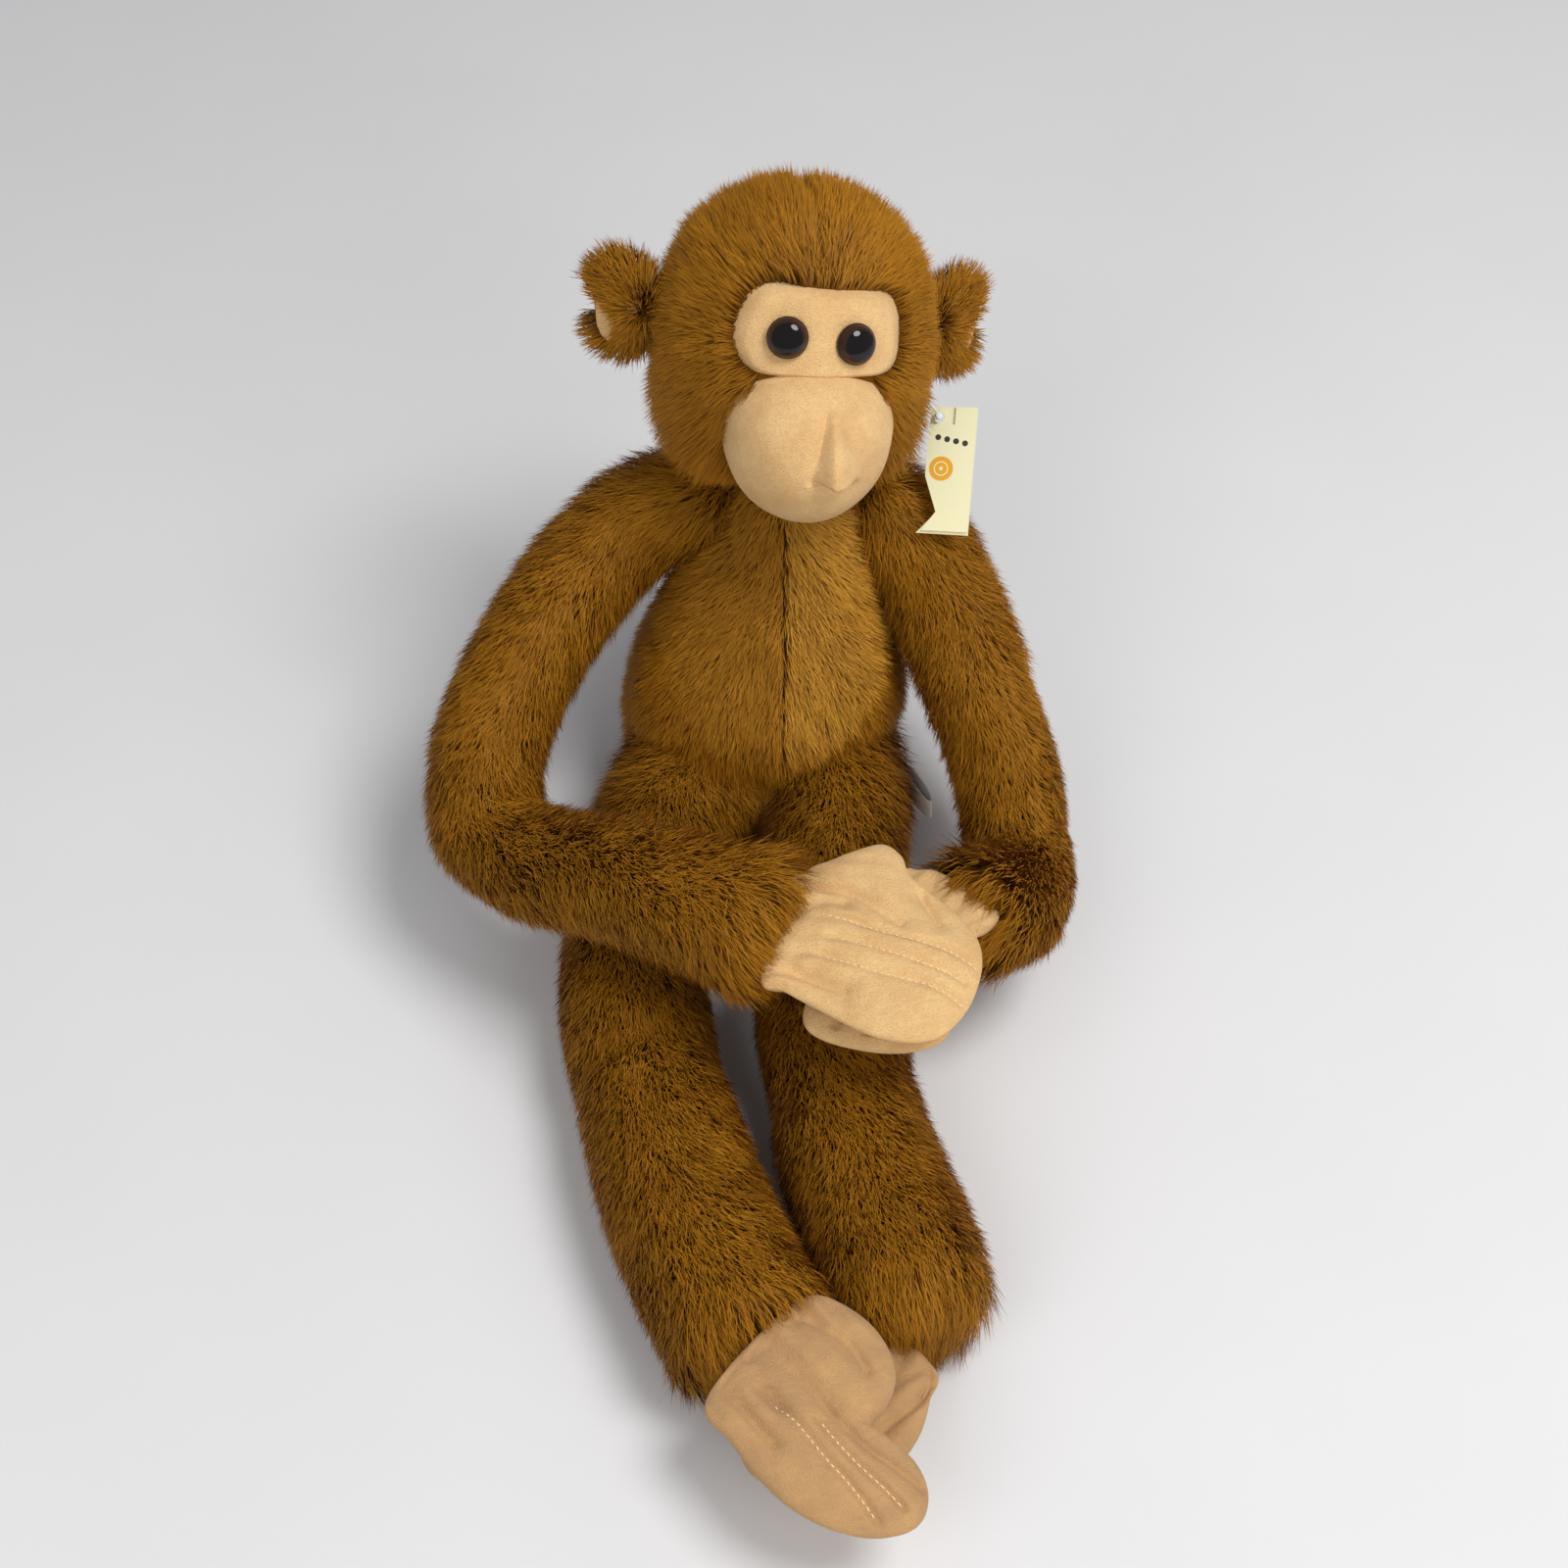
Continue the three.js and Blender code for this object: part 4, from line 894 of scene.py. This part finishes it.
# ---------- pieces ----------
class MONKEY_OT_limbs(bpy.types.Operator):
    """Sew the arms and legs and grow their fur"""
    bl_idname = "monkey.limbs"
    bl_label = "Arms and legs"

    def execute(self, context):
        joints = {j["child"]: Vector(j["pos_m"]) for j in frame["joints"]}
        for seed, (limb, upper, lower, way) in enumerate(LIMBS):
            nodes = [f"{part}_{kind}" for part in (upper, lower) for kind in ("sleeve", "stuffing")]
            skin = soft_skin(f"{limb}_skin", nodes, setting("monkey_fur").inset)
            dress(skin, "brown_backing")
            bend = Vector(way).normalized()
            for k, part in enumerate((upper, lower)):
                def keep(points, normals, part=part, k=k):
                    own = ((points - np.array(joints[lower])) @ np.array(bend) > 0) == (k == 1)
                    hidden = in_torso(points, 0.008) | in_head(points, 0.8) | (points[:, 2] < 0.0022)
                    gone = route_way((upper, lower), points)[2]
                    cuff = 1.4 if limb == "leg_left" else 0.65
                    hip = 0.75 if limb.startswith("leg") else 0.28
                    fuller = 1 + hip * np.clip(1 - gone / 0.25, 0, 1)
                    fuller = fuller + cuff * np.clip((gone - 0.88) / 0.09, 0, 1)
                    if limb == "arm_left":
                        fuller = fuller * np.where(points[:, 0] > 0.092, 0.65, 1.0)
                    return (own & ~hidden) * fuller

                def comb(points, normals):
                    droop = 0.5 if part.startswith("forearm") else 0.15
                    return route_way((upper, lower), points)[0] + np.array((0, 0, -droop))

                pile = grow_pile(f"{part}_pile", skin, comb, keep, "brown_pile",
                                 10 + 2 * seed + k, length=1.15, lay=(31, 61))
                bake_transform(pile)
            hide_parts(*nodes)
            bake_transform(skin)
        return {"FINISHED"}


def broaden(skin):
    """Fills the hips out sideways and lets the belly hang a little over the thighs."""
    normals, spots = (read_surface(skin)[k] for k in (2, 1))
    z = spots[:, 2] / MM
    hips = np.interp(z, (4, 24, 66, 96), (0, 9.0, 8.0, 0)) * np.clip(np.abs(normals[:, 0]) * 1.3 - 0.2, 0, 1)
    belly = np.interp(z, (48, 60, 90, 120), (0, 5.5, 3.0, 0)) * np.clip(-normals[:, 1], 0, 1)
    moved = spots + normals * (hips + belly)[:, None] * MM
    skin.data.vertices.foreach_set("co", moved.astype(np.float32).ravel())
    skin.data.update()


class MONKEY_OT_torso(bpy.types.Operator):
    """Sew the torso with its belly panels and grow their fur"""
    bl_idname = "monkey.torso"
    bl_label = "Torso and belly"

    def execute(self, context):
        nodes = ["torso_fur", "belly_panel_left", "belly_panel_right", "seat_panel", "torso_stuffing"]
        skin = soft_skin("torso_skin", nodes, setting("monkey_fur").inset, 0.004)
        dress(skin, "brown_backing")
        seam = (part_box("belly_panel_left")[0].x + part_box("belly_panel_right")[1].x) / 2
        broaden(skin)

        def on_belly(points, normals):
            x = (points[:, 0] - seam - 0.12 * (points[:, 2] - 0.08)) / MM
            z = points[:, 2] / MM
            wide = np.interp(z, *zip(*BIB))
            return (normals[:, 1] < 0.1) & (np.abs(x) < wide)

        def seam_gap(points):
            x = np.abs(points[:, 0] - seam - 0.12 * (points[:, 2] - 0.08)) / MM
            return np.clip(0.70 + x / 2.2, 0, 1)

        def visible(points):
            hidden = in_head(points, 0.82) | (points[:, 2] < 0.0022)
            for limb, upper, lower, way in LIMBS:
                hidden |= route_way((upper,), points)[1] < 0.74
            return ~hidden

        def downward(points, normals):
            return np.tile(np.array((0.0, -0.1, -1.0)), (len(points), 1)) + 0.25 * normals * (1, 1, 0)

        for side, sign in (("right", -1), ("left", 1)):
            def keep_fur(points, normals, sign=sign):
                own = np.sign(points[:, 0] - seam) == sign
                between_legs = (points[:, 2] < 0.050) & (normals[:, 1] < -0.3)
                short = np.where(between_legs, 0.55, 1.0)
                return (own & visible(points) & ~on_belly(points, normals)) * short

            def keep_belly(points, normals, sign=sign):
                own = np.sign(points[:, 0] - seam - 0.12 * (points[:, 2] - 0.08)) == sign
                return (own & visible(points) & on_belly(points, normals)) * seam_gap(points)

            def comb_belly(points, normals, sign=sign):
                return downward(points, normals) + np.array((0.28 * sign, 0, 0))

            fur = grow_pile(f"torso_pile_{side}", skin, downward, keep_fur, "brown_pile",
                            40 + sign)
            # Left half: the painted-light copy of the golden pile; right half: the painted-shade copy.
            belly = grow_pile(f"belly_pile_{side}", skin, comb_belly, keep_belly,
                              "golden_pile_lit" if side == "left" else "golden_pile_shaded", 50 + sign,
                              length=1.15, lay=(28, 56))
            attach(fur, "torso")
            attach(belly, "torso")
        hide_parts(*nodes)
        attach(skin, "torso")
        return {"FINISHED"}


class MONKEY_OT_head(bpy.types.Operator):
    """Sew the two halves of the head and grow their fur"""
    bl_idname = "monkey.head"
    bl_label = "Head"

    def execute(self, context):
        nodes = ["head_fur_left", "head_fur_right", "head_stuffing"]
        skin = soft_skin("head_skin", nodes + ["eye_mask"], setting("monkey_fur").inset - 0.0008, 0.0034)
        dress(skin, "brown_backing")

        def clear(points):
            local = head_places(points)
            front = local[:, 1] < 0
            mask = inside_outline(local[:, 0], local[:, 2], MASK_OUTLINE)
            muzzle = ((local - np.array(MUZZLE_AT)) / (np.array(MUZZLE_SIZE) - 4.5)) ** 2
            bridge = front & (np.abs(local[:, 0]) < 20) & (np.abs(local[:, 2] + 4) < 8)
            covered = (front & (mask < 0.955)) | (muzzle.sum(1) < 1) | bridge
            return ~covered & ~in_torso(points, 0.008)

        def comb(points, normals):
            local = head_places(points)
            out = np.column_stack([local[:, 0], np.zeros(len(local)), local[:, 2] - 6])
            back = np.array((0, 0.75, 0))
            down = np.where(local[:, 2:3] < 10, np.array((0, 0, -0.55)), np.array((0, 0, 0.0)))
            return head_vectors(unit(out) + back + down)

        for side, sign in (("right", -1), ("left", 1)):
            def keep(points, normals, sign=sign):
                local = head_places(points)
                own = np.sign(local[:, 0]) == sign
                top = np.clip((local[:, 2] - 20) / 10, 0, 1)
                parting = 1 - top * np.clip(1 - np.abs(local[:, 0]) / 2.4, 0, 1) * 0.45
                near = inside_outline(local[:, 0], local[:, 2], MASK_OUTLINE)
                trimmed = np.where(local[:, 1] < 0, np.clip(0.80 + (near - 1) * 1.2, 0.6, 1), 1)
                crown = 1 + 0.40 * np.clip((local[:, 2] - 14) / 20, 0, 1)
                low = np.clip((-8 - local[:, 2]) / 16, 0, 1)
                cheek = 1 + 0.95 * low * np.clip((np.abs(local[:, 0]) - 12) / 14, 0, 1)
                return own * clear(points) * parting * trimmed * crown * cheek

            pile = grow_pile(f"head_pile_{side}", skin, comb, keep, "brown_pile", 60 + sign,
                             length=1.05, lay=(24, 50))
            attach(pile, "head")
        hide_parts(*nodes)
        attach(skin, "head")
        return {"FINISHED"}


class MONKEY_OT_face(bpy.types.Operator):
    """Sew the plush eye mask and the muzzle with its pinched nose"""
    bl_idname = "monkey.face"
    bl_label = "Plush face"

    def execute(self, context):
        rim = rounded_line(MASK_OUTLINE, 150, True)
        middle = np.array((0.5, 15.5))
        plane, share, faces = polar_sheet(rim, middle, 30)
        wave = drift(np.column_stack([plane, np.zeros(len(plane))]) * MM, 0.012, 41)[:, 0]
        proud = 0.5 + 0.6 * wave - 2.6 * np.maximum(0, share - 0.86) ** 1.5 / 0.14 ** 1.5
        for place in EYE_PLACES.values():
            far = np.hypot(plane[:, 0] - place[0], plane[:, 1] - place[1])
            proud = proud - 1.5 * np.exp(-(far / 8.5) ** 2)
        a, b, c = (half + proud for half in HEAD_SIZE)
        y = -b * np.sqrt(np.maximum(0.02, 1 - (plane[:, 0] / a) ** 2 - (plane[:, 1] / c) ** 2))
        local = np.column_stack([plane[:, 0], y, plane[:, 1]]) * MM
        mesh = bpy.data.meshes.new("eye_mask_plush")
        spots = head_vectors(local) + np.array(HEAD_AT.translation)
        mesh.from_pydata(spots.tolist(), [], [tuple(reversed(f)) for f in faces])
        mask = bpy.data.objects.new("eye_mask_plush", mesh)
        context.scene.collection.objects.link(mask)
        if sum(p.normal.y for p in mesh.polygons) > 0:
            mesh.flip_normals()
        finish_with(mask, "SOLIDIFY", thickness=0.0018, offset=-1.0)
        mask.data.shade_smooth()
        dress(mask, "face_plush")
        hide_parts("eye_mask")
        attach(mask, "head")
        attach(self.muzzle(), "head")
        return {"FINISHED"}

    def muzzle(self):
        bpy.ops.object.select_all(action="DESELECT")
        bpy.ops.mesh.primitive_uv_sphere_add(segments=150, ring_count=100, radius=1.0)
        made = bpy.context.view_layer.objects.active
        made.name = made.data.name = "muzzle_plush"
        p = read_surface(made)[1]
        p = np.column_stack([p[:, 0], p[:, 2], -p[:, 1]])
        q = p * np.array(MUZZLE_SIZE)
        q[:, 0] *= np.where(p[:, 2] > 0, 1 + 0.14 * p[:, 2], 1 - 0.10 * np.abs(p[:, 2]) ** 1.5)
        local = q + np.array(MUZZLE_AT)
        wave = drift(local * MM, 0.014, 43)[:, 0]
        push = 0.5 * wave + 0.8
        x, z = local[:, 0], local[:, 2]
        front = p[:, 1] < -0.2
        t = np.clip((-3.5 - z) / 25.5, 0, 1)
        left = 2.0 - 5.4 * t
        right = 4.0 + 12.0 * t ** 0.9
        high = 10.5 * t ** 0.9
        across = (x - left) / np.maximum(right - left, 0.5)
        ridge = 0.27
        rise = np.where(across < ridge, np.sin(np.clip(across / ridge, 0, 1) * math.pi / 2),
                        np.cos(np.clip((across - ridge) / (1 - ridge), 0, 1) * math.pi / 2) ** 1.1)
        lip = -28.3 - 0.11 * (x + 3.2)
        under = np.clip((z - lip) / (1.8 + 0.35 * np.maximum(x - 2, 0)), 0, 1)
        push = push + front * high * rise * (3 - 2 * under) * under ** 2
        crease = np.exp(-((x - left + 0.6) / 1.1) ** 2) * np.clip(t * 6, 0, 1) * (z > lip - 1)
        push = push - front * 1.0 * crease
        bottom = np.exp(-((z - lip + 1.3) / 1.2) ** 2) * (x > left) * np.clip((11 - x) / 9, 0, 1)
        push = push - front * 0.9 * bottom
        way = unit(p / np.array(MUZZLE_SIZE))
        straight = np.where(front[:, None], np.array((0.12, -1.0, -0.12)), way)
        blend = np.clip(push[:, None] / 2, 0, 1)
        local = local + unit(way * (1 - blend) + straight * blend) * push[:, None]
        spots = head_vectors(local * MM) + np.array(HEAD_AT.translation)
        made.data.vertices.foreach_set("co", spots.astype(np.float32).ravel())
        choose(made)
        bpy.ops.object.mode_set(mode="EDIT")
        bpy.ops.mesh.select_all(action="SELECT")
        bpy.ops.mesh.normals_make_consistent(inside=False)
        bpy.ops.object.mode_set(mode="OBJECT")
        finish_with(made, "SMOOTH", factor=0.4, iterations=2)
        made.data.shade_smooth()
        dress(made, "face_plush")
        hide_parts("muzzle", "nose_fold")
        return made


class MONKEY_OT_eyes(bpy.types.Operator):
    """Turn the domed eyes and give the washers behind them their plastic"""
    bl_idname = "monkey.eyes"
    bl_label = "Eyes"

    def execute(self, context):
        eyes = setting("monkey_eyes")
        for name, (x, z) in EYE_PLACES.items():
            radius, rise = eyes.radius, eyes.rise
            profile = [(0, 0, rise)]
            for k in range(1, 13):
                angle = math.radians(90 - 90 * k / 12)
                profile.append((radius * 0.93 * math.cos(angle), 0, rise * (0.22 + 0.78 * math.sin(angle))))
            profile += [(radius * 0.97, 0, rise * 0.20), (radius, 0, rise * 0.10), (radius, 0, -0.0004),
                        (radius * 0.9, 0, -0.0014), (0, 0, -0.0014)]
            mesh = bpy.data.meshes.new(name + "_dome")
            mesh.from_pydata(profile, [(k, k + 1) for k in range(len(profile) - 1)], [])
            dome = bpy.data.objects.new(name + "_dome", mesh)
            context.scene.collection.objects.link(dome)
            choose(dome)
            bpy.ops.object.mode_set(mode="EDIT")
            bpy.ops.mesh.select_all(action="SELECT")
            bpy.ops.mesh.spin(steps=64, angle=2 * math.pi, center=(0, 0, 0), axis=(0, 0, 1))
            bpy.ops.mesh.remove_doubles(threshold=0.00001)
            bpy.ops.mesh.normals_make_consistent(inside=False)
            bpy.ops.object.mode_set(mode="OBJECT")
            places = read_surface(dome)[1]
            ring = np.clip(np.hypot(places[:, 0], places[:, 1]) / radius, 0, 1)
            colours = np.column_stack([ring, ring, ring, np.ones(len(ring))])
            stored = dome.data.attributes.new("ring", "FLOAT_COLOR", "POINT")
            stored.data.foreach_set("color", colours.ravel())
            a, b, c = HEAD_SIZE
            depth = -(b + 0.7) * math.sqrt(1 - (x / a) ** 2 - (z / c) ** 2)
            normal = Vector((x / a ** 2, depth / b ** 2, z / c ** 2)).normalized()
            normal = (normal + Vector((0, -0.25, 0))).normalized()
            turn = normal.to_track_quat("Z", "Y").to_matrix().to_4x4()
            place = HEAD_AT @ Matrix.Translation(Vector((x, depth, z)) * MM) @ turn
            dome.data.transform(place)
            dome.data.shade_smooth()
            dress(dome, "eye_gloss")
            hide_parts(name)
            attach(dome, "head")
        for side in ("right", "left"):
            washer = frame["nodes"][f"eye_washer_{side}"]
            washer.data.materials.clear()
            washer.data.materials.append(finish("washer_plastic_white"))
        return {"FINISHED"}


class MONKEY_OT_ears(bpy.types.Operator):
    """Sew the ears, with fur at the back and round the rim, and plush lining"""
    bl_idname = "monkey.ears"
    bl_label = "Ears"

    def execute(self, context):
        for side, sign in (("right", -1), ("left", 1)):
            skin = soft_skin(f"ear_{side}_skin", [f"ear_fur_{side}"], 0.0009, 0.0022)
            dress(skin, "brown_backing")
            lining = joined_copy(f"ear_{side}_lining", [f"ear_lining_{side}"])
            finish_with(lining, "REMESH", mode="VOXEL", voxel_size=0.0011)
            lining = keep_largest(lining)
            finish_with(lining, "SMOOTH", factor=0.5, iterations=6)
            lining.data.shade_smooth()
            dress(lining, "face_plush")
            low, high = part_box(f"ear_fur_{side}")
            centre = np.array((low + high) / 2)
            inner = np.array(frame_joint(f"ear_{side}"))
            inside = read_surface(lining)[1].mean(0)

            def comb(points, normals):
                return unit(points - inner) * 1.4 + unit(points - centre) * 0.6

            def keep(points, normals):
                plush_side = (points - centre) @ unit((inside - centre)[None])[0]
                near = np.linalg.norm(points - inside, axis=1)
                covered = (plush_side > 0.0002) & (near < 0.012)
                return np.where(covered, 0.0, 1.0) * ~in_head(points, 0.86)

            def tuft(points, normals):
                """The inner, upper part of the lining, which the fur hides."""
                inner_up = (points - inside) @ np.array((-sign * 0.62, 0, 0.78))
                return (inner_up > -0.0014) * 0.8

            pile = grow_pile(f"ear_{side}_pile", skin, comb, keep, "brown_pile", 80 + sign,
                             length=1.0, density=1.5, lay=(28, 46))
            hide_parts(f"ear_fur_{side}")
            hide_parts(f"ear_lining_{side}")
            front = grow_pile(f"ear_{side}_front_pile", lining, comb, tuft, "brown_pile",
                              90 + sign, length=0.9, density=1.2, lay=(30, 60))
            for piece in (skin, lining, pile, front):
                piece.data.transform(Matrix.Translation((0, 0, -EAR_DROP[side])))
                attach(piece, f"ear_{side}")
        return {"FINISHED"}


def frame_joint(body):
    return next(j["pos_m"] for j in frame["joints"] if j["child"] == body)


class MONKEY_OT_mitts(bpy.types.Operator):
    """Sew the cream hands and feet, with their sewn lines, folds and stitches"""
    bl_idname = "monkey.mitts"
    bl_label = "Hands and feet"

    def execute(self, context):
        for body, digit, mitt in MITTS:
            pad = sew_mitt(f"{body}_plush", mitt)
            dress(pad, "mitt_plush" if body.startswith("hand") else "foot_plush_shaded")
            thread = stitches(f"{body}_stitches", mitt)
            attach(thread, body)
            place = mitt_matrix(mitt)
            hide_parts(body, digit)
            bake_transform(pad)
        return {"FINISHED"}


class MONKEY_OT_tag(bpy.types.Operator):
    """Print the hanging card and give its fastener its plastic"""
    bl_idname = "monkey.tag"
    bl_label = "Hanging card"

    def execute(self, context):
        for node, material in (("tag_back_leaf", "tag_back"), ("tag_front_leaf", "tag_front"),
                               ("tag_fastener", "filament_plastic")):
            piece = frame["nodes"][node]
            piece.data.materials.clear()
            piece.data.materials.append(finish(material))
        return {"FINISHED"}


class MONKEY_OT_label(bpy.types.Operator):
    """Fold the satin care label and sew it into the side seam"""
    bl_idname = "monkey.label"
    bl_label = "Care label"

    def execute(self, context):
        turn = Matrix.Rotation(math.radians(LABEL["turn"]), 3, "Z")
        at = Vector(LABEL["at"]) * MM
        half = LABEL["height"] / 2
        line = rounded_line(((0, .5), (10, 1.5), (20, 2.1), (30, 1.9), (36, 1.3), (38.2, 0), (36, -1.3),
                             (30, -1.7), (20, -1.4), (10, -.9), (0, -.4)), 90)
        verts, faces, rows = [], [], 9
        for k, (u, v) in enumerate(line):
            for r in range(rows):
                z = (r / (rows - 1) * 2 - 1) * half
                ripple = 0.35 * math.sin(u * 0.22 + r * 0.25)
                verts.append(turn @ (Vector((u, v + ripple, z)) * MM) + at)
        for k in range(len(line) - 1):
            for r in range(rows - 1):
                faces.append((k * rows + r, (k + 1) * rows + r, (k + 1) * rows + r + 1, k * rows + r + 1))
        mesh = bpy.data.meshes.new("care_label_loop")
        mesh.from_pydata(verts, [], faces)
        label = bpy.data.objects.new("care_label_loop", mesh)
        context.scene.collection.objects.link(label)
        finish_with(label, "SOLIDIFY", thickness=0.0002, offset=0.0)
        label.data.shade_smooth()
        dress(label, "label_white")
        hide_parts("care_label")
        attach(label, "label")
        return {"FINISHED"}


class MONKEY_OT_stage(bpy.types.Operator):
    """Lay the pale floor, hang the soft lights and place the camera"""
    bl_idname = "monkey.stage"
    bl_label = "Floor, lights and camera"

    def execute(self, context):
        stage = setting("monkey_stage")
        bpy.ops.object.select_all(action="DESELECT")
        bpy.ops.mesh.primitive_plane_add(size=8.0, location=(0, 0, 0))
        floor = context.view_layer.objects.active
        floor.name = floor.data.name = "floor"
        made = Finish("pale_floor", Roughness=0.85, Specular_IOR_Level=0.2)
        cloud = made.noise(made.places(), 9.0, 5.0)
        made.set("Base Color", made.between(cloud, mixed(stage.floor, (0.6, 0.6, 0.6), 0.25), stage.floor))
        floor.data.materials.append(made.material)
        target = Vector((0.004, -0.040, 0.050))
        azimuth, elevation = math.radians(-8), math.radians(50)
        back = Vector((math.sin(azimuth) * math.cos(elevation), -math.cos(azimuth) * math.cos(elevation),
                       math.sin(elevation)))
        camera = bpy.data.objects.new("camera", bpy.data.cameras.new("camera"))
        camera.data.lens, camera.data.sensor_width = 56.25, 36.0
        camera.location = target + back * 0.930
        camera.rotation_mode = "QUATERNION"
        camera.rotation_quaternion = (-back).to_track_quat("-Z", "Y")
        camera.data.clip_start, camera.data.clip_end = 0.01, 50
        context.scene.collection.objects.link(camera)
        context.scene.camera = camera
        for name, place, size, power in (("key", (0.75, -0.45, 1.85), 0.9, stage.key),
                                         ("fill", (-0.7, -0.9, 1.0), 0.9, stage.fill),
                                         ("front", (0.6, -1.2, 0.8), 0.8, stage.fill)):
            lamp = bpy.data.objects.new(name, bpy.data.lights.new(name, "AREA"))
            lamp.data.energy, lamp.data.size, lamp.data.shape = power, size, "DISK"
            lamp.visible_glossy = name == "key"
            lamp.location = place
            lamp.rotation_mode = "QUATERNION"
            lamp.rotation_quaternion = (target - Vector(place)).to_track_quat("-Z", "Y")
            context.scene.collection.objects.link(lamp)
        world = bpy.data.worlds.new("soft_room")
        world.use_nodes = True
        background = world.node_tree.nodes["Background"]
        background.inputs["Color"].default_value = (0.93, 0.95, 1.0, 1)
        background.inputs["Strength"].default_value = stage.sky
        context.scene.world = world
        context.scene.view_settings.view_transform = "Standard"
        return {"FINISHED"}


STEPS = (MONKEY_OT_stage, MONKEY_OT_torso, MONKEY_OT_limbs, MONKEY_OT_head, MONKEY_OT_face, MONKEY_OT_eyes,
         MONKEY_OT_ears, MONKEY_OT_mitts, MONKEY_OT_tag, MONKEY_OT_label)


class MONKEY_PT_panel(bpy.types.Panel):
    """The steps that make the monkey, and their sizes and colours"""
    bl_idname = "MONKEY_PT_panel"
    bl_label = "Stuffed monkey"
    bl_space_type = "VIEW_3D"
    bl_region_type = "UI"
    bl_category = "Monkey"

    def draw(self, context):
        for step in STEPS:
            self.layout.operator(step.bl_idname)
        for group, kind in SETTINGS:
            box = self.layout.box()
            for name in kind.__annotations__:
                box.prop(getattr(context.scene, group), name)


def register():
    for group, kind in SETTINGS:
        bpy.utils.register_class(kind)
        setattr(bpy.types.Scene, group, PointerProperty(type=kind))
    for kind in (*STEPS, MONKEY_PT_panel):
        bpy.utils.register_class(kind)


def unregister():
    for kind in (MONKEY_PT_panel, *reversed(STEPS)):
        bpy.utils.unregister_class(kind)
    for group, kind in reversed(SETTINGS):
        delattr(bpy.types.Scene, group)
        bpy.utils.unregister_class(kind)


def main():
    register()
    for step in STEPS:
        group, name = step.bl_idname.split(".")
        getattr(getattr(bpy.ops, group), name)()


if __name__ == "__main__":
    main()
